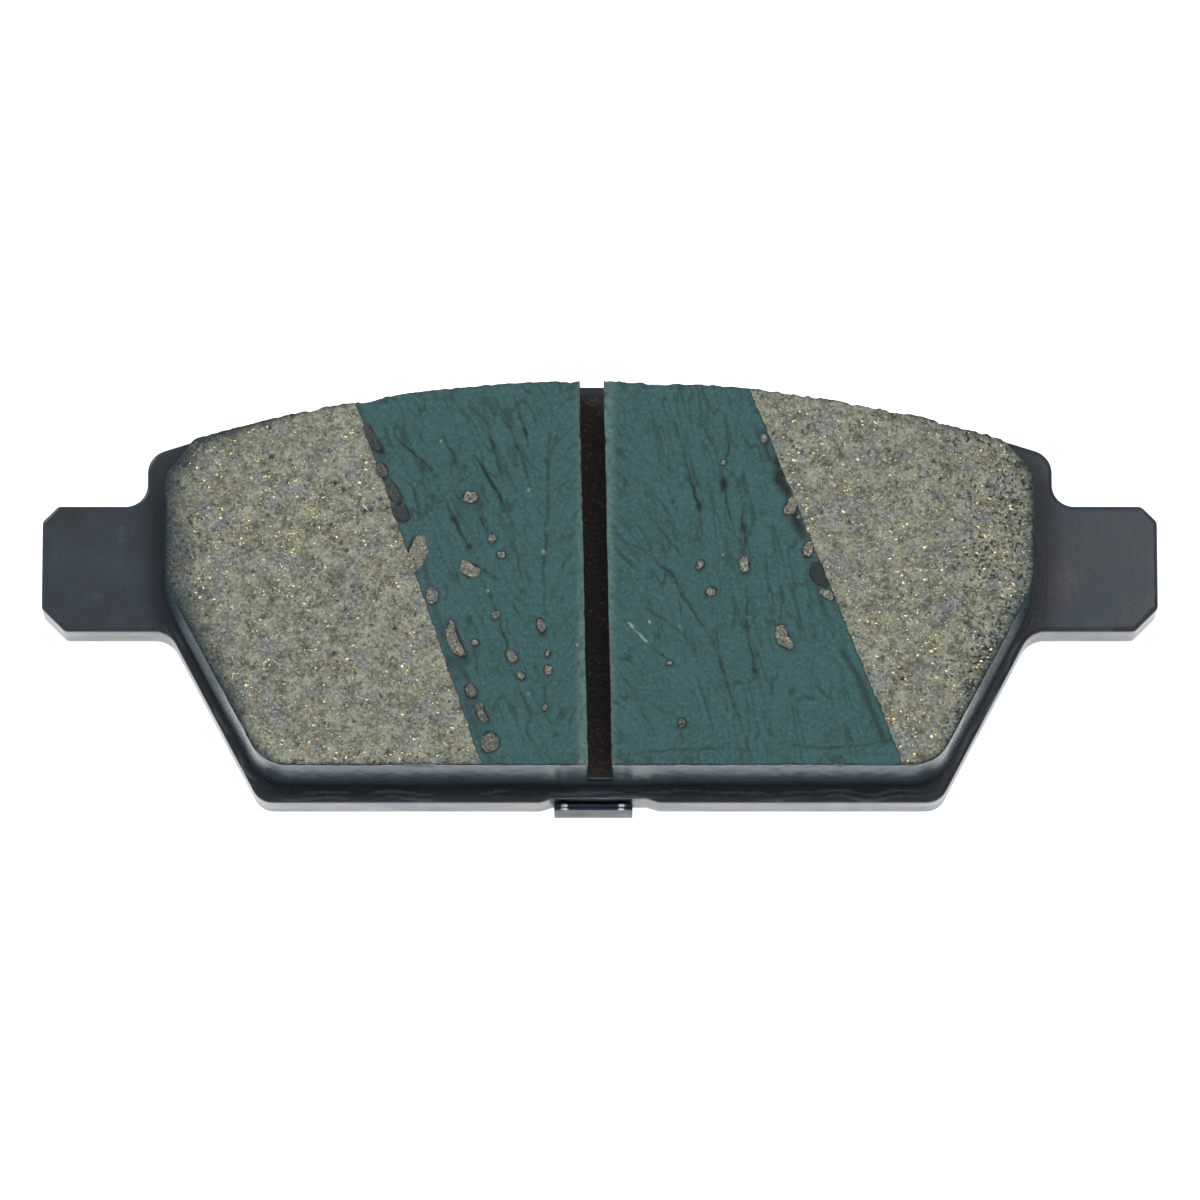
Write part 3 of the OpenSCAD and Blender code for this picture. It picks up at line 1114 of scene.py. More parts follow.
@dataclass(frozen=True)
class Creases:
    """Creases of one kind that start along a line and run the same way.

    Attributes:
        start: One end of the line, in millimetres.
        end: The other end.
        count: How many creases start on it.
        heading: Their directions at the line's two ends, in degrees from +X.
        bend: How much a crease turns, in degrees per millimetre.
        length: Shortest and longest length, in millimetres.
        width: Half-width in millimetres.
        dark: How dark they are, from 0 to 1.
    """

    start: tuple[float, float]
    end: tuple[float, float]
    count: int
    heading: tuple[float, float]
    bend: float
    length: tuple[float, float]
    width: float
    dark: float

    def lines(self, rng: np.random.Generator) -> list[Line]:
        """The creases of this kind.

        Args:
            rng: Source of random numbers.

        Returns:
            One line per crease, in metres.
        """
        made = []
        for i in range(self.count):
            share = (i + rng.uniform(0.15, 0.85)) / self.count
            here = np.array(self.start) * (1 - share) + np.array(self.end) * share
            here = here + rng.normal(0, 0.45, 2)
            heading = self.heading[0] * (1 - share) + self.heading[1] * share + rng.normal(0, 5)
            path = [here]
            for _ in range(int(rng.uniform(*self.length) / 0.3)):
                heading += self.bend * 0.3 + rng.normal(0, 3.2)
                turn = math.radians(heading)
                here = here + 0.3 * np.array([math.cos(turn), math.sin(turn)])
                path.append(here)
            width = self.width * rng.uniform(0.7, 1.35) * MM
            made.append((np.array(path) * MM, width, self.dark * rng.uniform(0.5, 1.1)))
            # This number isn't used. Drawing it keeps every later crease where it is.
            rng.uniform()
        return made


@dataclass(frozen=True)
class Stroke:
    """One strong crease at a given place.

    Attributes:
        dark: How dark it is, from 0 to 1.
        width: Its half-width in millimetres.
        path: The x and y of each of its points, in millimetres.
    """

    dark: float
    width: float
    path: Sequence[float]

    def line(self, seed: int) -> Line:
        """The crease as a fine, slightly wavering line.

        Args:
            seed: Number of the pattern that it wavers by.

        Returns:
            The line, in metres.
        """
        corners = np.reshape(self.path, (-1, 2))
        run = np.linalg.norm(np.diff(corners, axis=0), axis=1).sum()
        fine = spaced(corners, max(2, round(run / 0.25)))
        sway = [grain(fine, 0.9, seed + k) * 0.13 for k in (0, 1)]
        return (fine + np.stack(sway, axis=1)) * MM, 1.35 * self.width * MM, 1.25 * self.dark


@dataclass(frozen=True)
class Crumb:
    """A lump of friction compound that stuck in the wet coating.

    Attributes:
        at: Its place in millimetres.
        size: Its length and width in millimetres.
        turn: The direction of its length, in degrees from +X.
        shade: From 0, pale, to 1, black.
    """

    at: tuple[float, float]
    size: tuple[float, float]
    turn: float
    shade: float

    def reach(self, places: Array) -> Array:
        """How far out of the crumb's oval each place is.

        Args:
            places: Points in the plane.

        Returns:
            Values from 0 in the middle, with 1 on the oval.
        """
        length, width = self.size
        along, across = turned(*(places / MM - np.array(self.at)).T, -math.radians(self.turn)).T
        if length > BEAN_LENGTH:
            across = across - 0.1 * length * np.clip(2 * along / length, -1, 1) ** 2
        return np.hypot(2 * along / length, 2 * across / width)

    def painted_shadow(self, places: Array) -> Array:
        """The painted shadow that the crumb casts on the film round it, widest on its lee side.

        Args:
            places: Points on the film.

        Returns:
            Values from 0 far off to 1 under the crumb.
        """
        reach = self.reach(places)
        lee = (places / MM - np.array(self.at)) @ np.array([0.5, -0.87]) / self.size[0]
        wide = (0.16 + 0.22 * np.clip(lee + 0.5, 0, 1)) / self.size[1]
        return np.where(reach > 1, np.exp(-np.clip((reach - 1.0) / wide, 0, 8)), 1.0)

    def add_to(self, shell: Shell, film: Field, top: float) -> int:
        """Adds the crumb to a shell.

        Args:
            shell: The shell of all crumbs of one area.
            film: Gives the film's height.
            top: The height that the crumb stays under.

        Returns:
            How many vertices it has.
        """
        length, width = self.size
        rng = np.random.default_rng(int(abs(self.at[0] * 1000 + self.at[1] * 10)) + 1)
        around = max(20, round(22 * length))
        angles = np.linspace(0, math.tau, around, endpoint=False)
        circle = np.stack([np.cos(angles), np.sin(angles)], axis=1)
        salt = int(rng.integers(999))
        jag = 1.0 + 0.2 * grain(circle, 0.9, salt) + 0.13 * grain(circle, 0.3, salt + 1)
        base = film(np.array([self.at]) * MM)[0]
        room = top - base - 0.004 * MM
        rows = []
        for share, lift in CRUMB_ROWS:
            x = squared(np.cos(angles)) * jag * share * length / 2
            y = squared(np.sin(angles)) * jag * share * width / 2
            y = y + 0.1 * length * (np.cos(angles) * share) ** 2 * (length > BEAN_LENGTH)
            plane = (turned(x, y, math.radians(self.turn)) + np.array(self.at)) * MM
            bump = 1.0 - 0.5 * np.clip(0.5 + rough(plane, 0.35 * MM, 15), 0, 1)
            rows.append(shell.add(plane, np.minimum(base + room * lift * bump, top - 0.002 * MM)))
        shell.faces.append(tuple(rows[0]))
        shell.band(rows)
        shell.faces.append(tuple(rows[-1][::-1]))
        return around * len(rows)


@dataclass
class Coating:
    """One area of break-in coating with its creases and the crumbs on it.

    Attributes:
        node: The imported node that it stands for.
        seed: Number of its random patterns.
        flow: Direction of the fine wrinkles near the slot and far from it, in degrees from +X.
        groove: Inset and darkness of the dark line along the slanted border.
        creases: Its kinds of fine crease.
        strokes: Its strong creases and knots.
        crumbs: The crumbs on it.
        scuffs: Pale scratches, each as the x and y of two ends and a width, in millimetres.
        step: Distance between vertices.
        thickness: Thickness of the film.
    """

    node: str
    seed: int
    flow: tuple[float, float]
    groove: tuple[float, float]
    creases: Sequence[Creases]
    strokes: Sequence[Stroke]
    crumbs: Sequence[Crumb]
    scuffs: Sequence[Sequence[float]]
    step: float = 0.145 * MM
    thickness: float = 0.06 * MM

    def from_slot(self, places: Array) -> Array:
        """How far each place lies from the slot.

        Args:
            places: Points in the plane.

        Returns:
            Distances in millimetres.
        """
        low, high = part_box(self.node)
        side = high[0] if self.node.endswith("left") else low[0]
        return np.abs(places[:, 0] - side) / MM

    def outline(self, lining: Lining) -> Outline:
        """The coating's edge, which follows the lining's broken edge where they meet.

        Args:
            lining: The friction block.

        Returns:
            The outline, finely divided.
        """
        packed = top_outlines(self.node)[0].resampled(self.step)
        places = packed.points
        rims = [lining.edge(tower)[0] for tower in (0, 1)]
        edge = np.vstack([rim.points for rim in rims])
        out = np.vstack([rim.normals() for rim in rims])
        breaks = np.concatenate([lining.breaks(rim) for rim in rims])
        distance, which = nearest(places, edge)
        ragged = 0.1 * rough(places, 0.9 * MM, self.seed) + 0.07 * grain(places, 0.3 * MM, self.seed)
        own = packed.normals() * (ragged * MM)[:, None]
        nicks = np.clip(rough(places, 0.6 * MM, self.seed + 8), 0, 1)
        by_slot = np.abs(out[which][:, 1]) < 0.3
        bare = np.where(by_slot, 0.16 * nicks**2, 0.01 + 0.17 * nicks) * MM
        moved = -out[which] * (breaks[which] + bare)[:, None]
        shared = distance < 0.12 * MM
        return Outline(places + np.where(shared[:, None], moved, own))

    def darkness(self, places: Array, border: Array) -> Array:
        """How dark the film is drawn at each place, with painted shadows and painted shade.

        Args:
            places: Points on the film.
            border: The two ends of its slanted border.

        Returns:
            Values from 0 to 1.
        """
        rng = np.random.default_rng(self.seed)
        lines = [line for kind in self.creases for line in kind.lines(rng)]
        lines += [stroke.line(self.seed + i) for i, stroke in enumerate(self.strokes)]
        dark = np.zeros(len(places))
        for path, width, depth in lines:
            dark = np.maximum(dark, depth * trace(places, path, width))
        dark *= np.clip(0.8 + 0.6 * rough(places, 0.7 * MM, self.seed + 5), 0.35, 1)
        near = 1.0 - smooth_step(self.from_slot(places), 2.0, 6.0)
        for angle, share in zip(self.flow, (near, 1.0 - near)):
            dark = np.maximum(dark, 0.4 * share * wrinkles(places, angle, self.seed + int(angle)))
        dark = np.maximum(dark, self._border_lines(places, border))
        # The crumbs' painted shadows on the film.
        for crumb in self.crumbs:
            dark = np.maximum(dark, 0.85 * crumb.painted_shadow(places))
        return np.clip(dark, 0, 1)

    def _border_lines(self, places: Array, border: Array) -> Array:
        """How dark the broken groove inside the slanted border is, with painted shade along the border.

        Args:
            places: Points on the film.
            border: The border's two ends.

        Returns:
            Values from 0 to 1.
        """
        along = (border[1] - border[0]) / np.linalg.norm(border[1] - border[0])
        offset = places - border[0]
        inset = np.abs(offset[:, 0] * along[1] - offset[:, 1] * along[0])
        run = offset @ along
        wander = np.stack([run, np.zeros(len(run))], axis=1)
        middle = self.groove[0] * MM * (1.0 + 0.35 * grain(wander, 4 * MM, self.seed + 9))
        wide = MM * (0.36 + 0.35 * np.clip(grain(wander, 2.6 * MM, self.seed + 11), 0, 1))
        present = smooth_step(grain(wander, 3.4 * MM, self.seed + 12), -0.5, 0.25)
        present *= smooth_step(run / MM, 1.0, 7.0)
        groove = self.groove[1] * present * bell(inset, middle, wide)
        # Besides the groove, a line of painted shade right along the slanted border.
        return np.maximum(groove, 0.4 * np.exp(-inset / (0.1 * MM)))

    def build(self, lining: Lining) -> tuple[bpy.types.Object, bpy.types.Object]:
        """Makes the film and its crumbs.

        Args:
            lining: The friction block.

        Returns:
            The film and the crumbs.
        """
        outline = self.outline(lining)
        border = self._border(lining)
        film = partial(self._surface, lining=lining, border=border)
        rim = outline.points - outline.normals() * 0.03 * MM
        level = film(rim)
        shell = Shell()
        top = shell.add(rim, level - 0.01 * MM)
        shell.cap([top], scattered(outline, self.step, 0.6 * self.step, self.seed), film)
        side = shell.add(outline.points, level - 0.035 * MM)
        foot = shell.add(outline.points, lining.face_z - 0.16 * MM)
        shell.band([top, side, foot])
        shell.cap([foot])
        piece = shell.finished(self.node.replace("transfer_film", "break_in_film"))
        self._paint(piece, shell.points[:, :2], outline, border)
        return piece, self._lumps(film)

    def _paint(self, piece: bpy.types.Object, flat: Array, outline: Outline, border: Array) -> None:
        """Stores the creases with the painted shade and shadows, and the pale scuffs, on each vertex.

        Args:
            piece: The film.
            flat: Its vertices' places.
            outline: The film's edge.
            border: The two ends of its slanted border.
        """
        # A line of painted shade along the film's edges, fading out by the slot.
        rim = np.exp(-nearest(flat, outline.points)[0] / (0.11 * MM))
        rim *= 0.5 * smooth_step(self.from_slot(flat), 0.3, 0.6)
        paint(piece, "crease_and_shadow", np.maximum(self.darkness(flat, border), rim))
        scuffs = np.zeros(len(flat))
        for *ends, width in self.scuffs:
            path = spaced(np.reshape(ends, (2, 2)) * MM, 6)
            scuffs = np.maximum(scuffs, trace(flat, path, width * MM))
        scuffs *= np.clip(0.7 + 0.8 * grain(flat, 0.3 * MM, 77), 0, 1)
        worn = np.exp(-((self.from_slot(flat) / 1.1) ** 4)) * (0.13 + 0.1 * grain(flat, 0.3 * MM, 79))
        paint(piece, "scuff", np.maximum(scuffs, worn))

    def _border(self, lining: Lining) -> Array:
        """Finds the slanted border: the longest steep side that isn't by the slot.

        Args:
            lining: The friction block.

        Returns:
            The border's upper and lower end.
        """
        corners = top_outlines(self.node)[0]
        onward = np.roll(corners.points, -1, axis=0)
        steep = np.abs(onward - corners.points)[:, 1] > 20 * MM
        away = lining.from_middle((corners.points + onward) / 2) >= 2 * MM
        ends = corners.started_at(int(np.argmax(corners.sides() * (steep & away)))).points[:2]
        return ends[np.argsort(-ends[:, 1])]

    def _surface(self, places: Array, lining: Lining, border: Array) -> Array:
        """The film's surface.

        Args:
            places: Points on the film.
            lining: The friction block.
            border: The two ends of the slanted border.

        Returns:
            The height at each place.
        """
        nap = 0.010 * MM * rough(places, 0.4 * MM, self.seed + 2)
        swell = 0.012 * MM * grain(places, 2.5 * MM, self.seed + 3)
        groove = 0.045 * MM * self.darkness(places, border)
        return lining.face_z + self.thickness + nap + swell - groove

    def _lumps(self, film: Field) -> bpy.types.Object:
        """Makes all crumbs of this area as one piece.

        Args:
            film: Gives the film's height.

        Returns:
            The piece, with the crumbs' shades stored on it.
        """
        shell = Shell()
        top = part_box(self.node)[1][2]
        counts = [crumb.add_to(shell, film, top) for crumb in self.crumbs]
        piece = shell.finished(self.node.replace("transfer_film", "crumbs"))
        paint(piece, "shade", np.repeat([crumb.shade for crumb in self.crumbs], counts))
        return piece


def wrinkles(places: Array, angle: float, seed: int) -> Array:
    """A net of fine wrinkles that are drawn out in one direction.

    Args:
        places: Points in the plane.
        angle: The direction, in degrees from +X.
        seed: Number of the pattern.

    Returns:
        Values from 0 to 1, with 1 in the middle of a wrinkle.
    """
    turn = math.radians(angle)
    along = places @ np.array([math.cos(turn), math.sin(turn)])
    across = places @ np.array([-math.sin(turn), math.cos(turn)])
    drawn = np.stack([along / 5.0, across], axis=1)
    ridge = 1.0 - 1.4 * np.abs(grain(drawn, 0.6 * MM, seed) + 0.3 * grain(drawn, 0.3 * MM, seed + 1))
    patches = smooth_step(grain(places, 1.6 * MM, seed + 2), -0.7, 0.4)
    return smooth_step(ridge, 0.55, 1.0) * (0.35 + 0.65 * patches)


def trace(places: Array, path: Array, width: float) -> Array:
    """How strongly a drawn line covers each place: soft across, and thinner towards its ends.

    Args:
        places: Points in the plane.
        path: The line's points.
        width: Its half-width.

    Returns:
        Values from 0 to 1.
    """
    found = np.zeros(len(places))
    reach = 3.0 * width
    low, high = path.min(axis=0) - reach, path.max(axis=0) + reach
    near = np.flatnonzero(np.all((places > low) & (places < high), axis=1))
    spot = places[near]
    best = np.full(len(near), np.inf)
    run = np.zeros(len(near))
    for i, (a, b) in enumerate(zip(path[:-1], path[1:])):
        step = b - a
        t = np.clip((spot - a) @ step / max(step @ step, 1e-18), 0, 1)
        distance = np.linalg.norm(spot - a - t[:, None] * step, axis=1)
        closer = distance < best
        best = np.where(closer, distance, best)
        run = np.where(closer, (i + t) / (len(path) - 1), run)
    taper = np.sin(math.pi * np.clip(0.06 + 0.9 * run, 0, 1)) ** 0.6
    found[near] = bell(best, 0.0, width * (0.4 + 0.6 * taper)) * taper
    return found


def squared(wave: Array) -> Array:
    """A sine or cosine with fuller shoulders, which makes a circle a little squarer."""
    return np.sign(wave) * np.abs(wave) ** 0.8


# The coating left of the slot: its creases fan down from the arch and meet in a midrib.
LEFT_COATING = Coating(
    node="transfer_film_left",
    seed=203,
    flow=(-124.0, -66.0),
    groove=(0.75, 0.3),
    creases=(
        Creases((-22, 15), (-5, 18), 16, (-54, -74), -0.6, (5, 11), 0.09, 0.3),
        Creases((-19, 9), (-8, 7), 12, (-58, -72), -1.0, (5, 11), 0.09, 0.3),
        Creases((-15, -2), (-8, -6), 9, (-62, -76), -0.8, (4, 9), 0.09, 0.25),
        Creases((-1.6, 15), (-1.2, -15), 44, (-118, -134), -0.8, (2.5, 5.5), 0.08, 0.3),
    ),
    strokes=tuple(Stroke(dark, width, path) for dark, width, *path in (
        (0.6, 0.13, -20.6, 14.3, -18.9, 12.8, -16.9, 11.0, -16.3, 10.2),
        (0.35, 0.13, -18.9, 15.9, -17.4, 13.3, -17.0, 12.5),
        (0.5, 0.13, -16.1, 15.1, -14.9, 12.8, -14.1, 11.0, -13.8, 9.8),
        (0.75, 0.15, -12.5, 12.4, -11.1, 9.9, -10.1, 8.4, -9.4, 6.8, -9.1, 5.8),
        (0.6, 0.13, -11.8, 16.6, -10.8, 14.1, -10.3, 12.0, -9.6, 9.1),
        (0.6, 0.13, -10.1, 16.9, -8.8, 14.8, -8.1, 12.8, -7.4, 11.2, -6.9, 9.1),
        (0.7, 0.13, -8.3, 17.2, -7.4, 14.8, -7.3, 13.5, -7.5, 12.4),
        (0.45, 0.15, -4.8, 17.9, -5.2, 11.7, -5.3, 5.0, -5.7, 0.0, -5.4, -5.6),
        (0.4, 0.13, -3.9, 15.6, -4.8, 13.0, -5.2, 11.7),
        (0.4, 0.13, -5.4, -10.2, -5.5, -12.3, -5.4, -14.1, -4.4, -16.2),
        (0.6, 0.14, -15.8, 8.4, -14.9, 6.3, -13.6, 3.7, -12.9, 1.9),
        (0.55, 0.14, -12.1, -0.2, -11.3, -1.5, -10.3, -3.8, -9.8, -5.6, -7.8, -10.0),
        (0.5, 0.13, -12.6, 7.3, -11.6, 5.3, -10.8, 3.7),
        (0.55, 0.13, -19.4, 9.9, -18.5, 8.4, -18.2, 6.3, -18.2, 4.8),
        (0.3, 0.13, -9.1, 5.3, -8.6, 3.7, -7.6, -1.2, -7.0, -2.5),
        (0.35, 0.13, -7.3, 8.4, -6.0, 6.6, -5.4, 5.5), (0.45, 0.13, -12.8, -7.2, -12.3, -9.0, -12.2, -10.5),
        (0.51, 0.4, -16.4, 10.6, -16.2, 10.2), (0.58, 0.36, -13.9, 10.1, -13.8, 9.7),
        (0.62, 0.46, -9.4, 7.3, -9.2, 6.3), (0.55, 0.36, -14.8, 6.4, -14.5, 5.4),
        (0.66, 0.3, -13.2, 3.5, -13.0, 2.6), (0.47, 0.36, -7.9, -1.4, -7.6, -1.7),
        (0.47, 0.3, -4.5, -16.0, -4.1, -16.4), (0.47, 0.26, -5.3, 12.3, -5.2, 11.2),
    )),
    crumbs=tuple(Crumb((x, y), (length, width), turn, shade) for x, y, length, width, turn, shade in (
        (-18.55, 1.95, 4.0, 1.8, 68, 0.0), (-16.8, -2.0, 1.6, 1.1, 95, 0.15),
        (-14.6, -6.6, 3.9, 1.15, -70, 0.1), (-12.9, -11.8, 1.5, 1.1, -60, 0.35),
        (-11.9, -14.0, 1.9, 0.9, -66, 0.5), (-10.9, -17.0, 2.1, 1.7, 80, 0.4),
        (-13.0, 8.1, 1.5, 1.1, -12, -0.1), (-13.05, 0.65, 1.9, 1.4, -28, 0.0),
        (-10.8, 3.9, 0.9, 0.7, 90, 0.25), (-9.9, 2.2, 0.8, 0.7, 0, 0.1), (-5.9, -5.1, 1.5, 0.8, -75, 0.2),
        (-8.9, -8.2, 1.3, 0.9, -60, 0.15), (-7.9, -10.2, 0.9, 0.7, -40, 0.2),
        (-5.2, -7.9, 0.6, 0.45, 80, -0.4), (-5.2, -9.6, 0.9, 0.75, 90, 0.15),
        (-10.4, -4.0, 0.9, 0.7, 70, 0.3), (-12.5, -6.8, 0.7, 0.6, 0, 0.05),
        (-5.5, -13.5, 0.6, 0.4, 80, 0.3), (-22.9, 14.0, 3.0, 0.9, -62, 0.85),
        (-21.9, 10.8, 1.6, 1.1, -75, 0.7), (-20.8, 8.6, 2.2, 1.2, -62, 0.8),
        (-20.0, 6.5, 1.9, 1.5, -65, 0.9),
    )),
    scuffs=(
        (-16.0, 14.0, -15.9, 13.8, 0.11), (-7.2, 8.9, -7.1, 8.7, 0.11), (-5.7, 2.7, -5.6, 2.2, 0.13),
        (-11.4, -1.4, -11.1, -1.6, 0.14), (-7.2, -12.0, -7.1, -12.1, 0.1), (-2.3, -6.9, -2.2, -7.2, 0.1),
    ),
)

# The coating right of the slot: its creases sweep down from the slot, steeper further out.
RIGHT_COATING = Coating(
    node="transfer_film_right",
    seed=307,
    flow=(-47.0, -78.0),
    groove=(1.15, 0.45),
    creases=(
        Creases((1.4, 17), (2.4, -14), 46, (-42, -46), -1.6, (5, 11), 0.08, 0.28),
        Creases((3, 17), (13, 17), 10, (-62, -84), -0.8, (5, 10), 0.09, 0.26),
        Creases((5, 4), (9, -8), 10, (-56, -62), -1.2, (5, 10), 0.08, 0.26),
        Creases((16, 6), (22, -10), 7, (-88, -80), 0.4, (3, 7), 0.1, 0.22),
    ),
    strokes=tuple(Stroke(dark, width, path) for dark, width, *path in (
        (0.55, 0.13, 12.7, 16.9, 12.9, 13.0, 12.4, 11.5, 12.4, 9.0, 13.4, 4.8, 14.2, 2.7),
        (0.6, 0.13, 8.4, 13.8, 8.7, 11.2, 9.8, 7.6, 10.1, 5.8, 10.3, 3.5),
        (0.6, 0.13, 14.4, 7.6, 14.3, 5.3, 14.6, 3.7, 14.5, 2.2),
        (0.5, 0.13, 14.5, 0.2, 14.8, -2.5, 14.7, -5.1, 15.2, -8.2, 15.7, -10.2, 16.4, -12.8),
        (0.35, 0.13, 16.7, 3.2, 16.8, 0.1, 17.2, -1.7, 17.7, -3.8),
        (0.5, 0.13, 2.3, 3.7, 4.6, 2.4, 7.1, 0.4, 8.6, -2.5, 10.1, -4.8, 11.9, -7.7),
        (0.42, 0.13, 3.3, 10.4, 5.1, 9.1, 6.6, 6.8, 7.6, 5.3),
        (0.5, 0.13, 3.8, 7.6, 5.6, 5.5, 7.3, 3.2, 8.9, 1.1),
        (0.45, 0.13, 2.8, 6.3, 4.6, 4.2, 5.6, 1.6, 7.3, -0.2),
        (0.42, 0.13, 4.3, -3.0, 6.6, -4.6, 8.4, -6.1, 9.6, -7.9), (0.5, 0.13, 5.0, -7.1, 7.0, -8.8),
        (0.45, 0.13, 3.8, -13.3, 5.8, -16.5), (0.45, 0.13, 5.1, -13.1, 7.6, -14.6),
        (0.42, 0.13, 9.6, -10.0, 10.9, -13.9, 11.6, -16.7),
        (0.5, 0.13, 11.1, -2.5, 11.9, -7.7, 12.6, -10.8, 13.7, -14.1, 14.9, -17.0),
        (0.4, 0.13, 5.1, 16.9, 6.1, 14.3, 6.6, 12.5), (0.4, 0.13, 7.3, 16.4, 8.4, 13.5),
        (0.4, 0.13, 9.6, 16.6, 11.1, 14.3, 11.9, 12.2),
        (0.4, 0.13, 1.5, -18.5, 7, -17.8, 12.7, -17.6, 15.7, -17.8, 16.6, -18.4),
        (0.4, 0.13, 16.6, -18.4, 19.2, -17.3, 22.7, -17.6, 28.5, -17.2),
        (0.66, 0.38, 12.4, 10.2, 12.3, 8.5), (0.62, 0.26, 9.8, 7.6, 10.0, 6.2),
        (0.55, 0.34, 14.4, 5.6, 14.5, 4.0), (0.62, 0.26, 7.1, 7.9, 7.2, 7.2),
        (0.47, 0.36, 14.7, -4.8, 14.6, -5.6), (0.51, 0.3, 15.4, -9.2, 15.8, -10.4),
        (0.39, 0.42, 19.2, -11.4, 19.3, -12.5), (0.55, 0.3, 16.3, 15.2, 17.3, 11.4),
        (0.74, 0.55, 17.6, 12.6, 18.3, 9.6, 19.4, 7.6), (0.58, 0.5, 18.6, 8.4, 19.8, 5.4, 20.8, 3.4),
    )),
    crumbs=tuple(Crumb((x, y), (length, width), turn, shade) for x, y, length, width, turn, shade in (
        (10.05, 1.15, 0.95, 0.75, 60, 0.1), (14.5, 1.2, 1.6, 0.95, 95, 0.1),
        (11.1, -1.6, 1.0, 0.8, 30, 0.05), (18.3, -6.3, 2.5, 1.25, -68, 0.1),
        (19.25, 7.1, 1.8, 1.2, 60, 0.0), (20.9, 2.7, 1.5, 1.0, 80, 0.0), (16.5, 14.2, 1.0, 0.7, -70, 0.2),
        (12.4, 11.7, 0.5, 0.45, 0, -0.4), (21.9, 0.1, 2.5, 1.5, -62, 1.0),
        (22.8, -1.9, 1.5, 0.8, -30, -0.1), (8.2, -15.0, 0.9, 0.7, 90, 0.4), (6.95, -8.9, 0.5, 0.4, 0, 0.1),
    )),
    scuffs=(
        (2.85, -4.7, 3.5, -5.5, 0.1), (3.6, -5.6, 4.95, -7.0, 0.08), (4.95, -4.5, 5.0, -4.9, 0.09),
        (12.3, 2.3, 12.4, 2.1, 0.1), (19.9, 6.2, 20.0, 6.0, 0.14), (8.0, -5.1, 8.1, -5.3, 0.08),
    ),
)


# ---------------------------------------------------------------- plate and shim


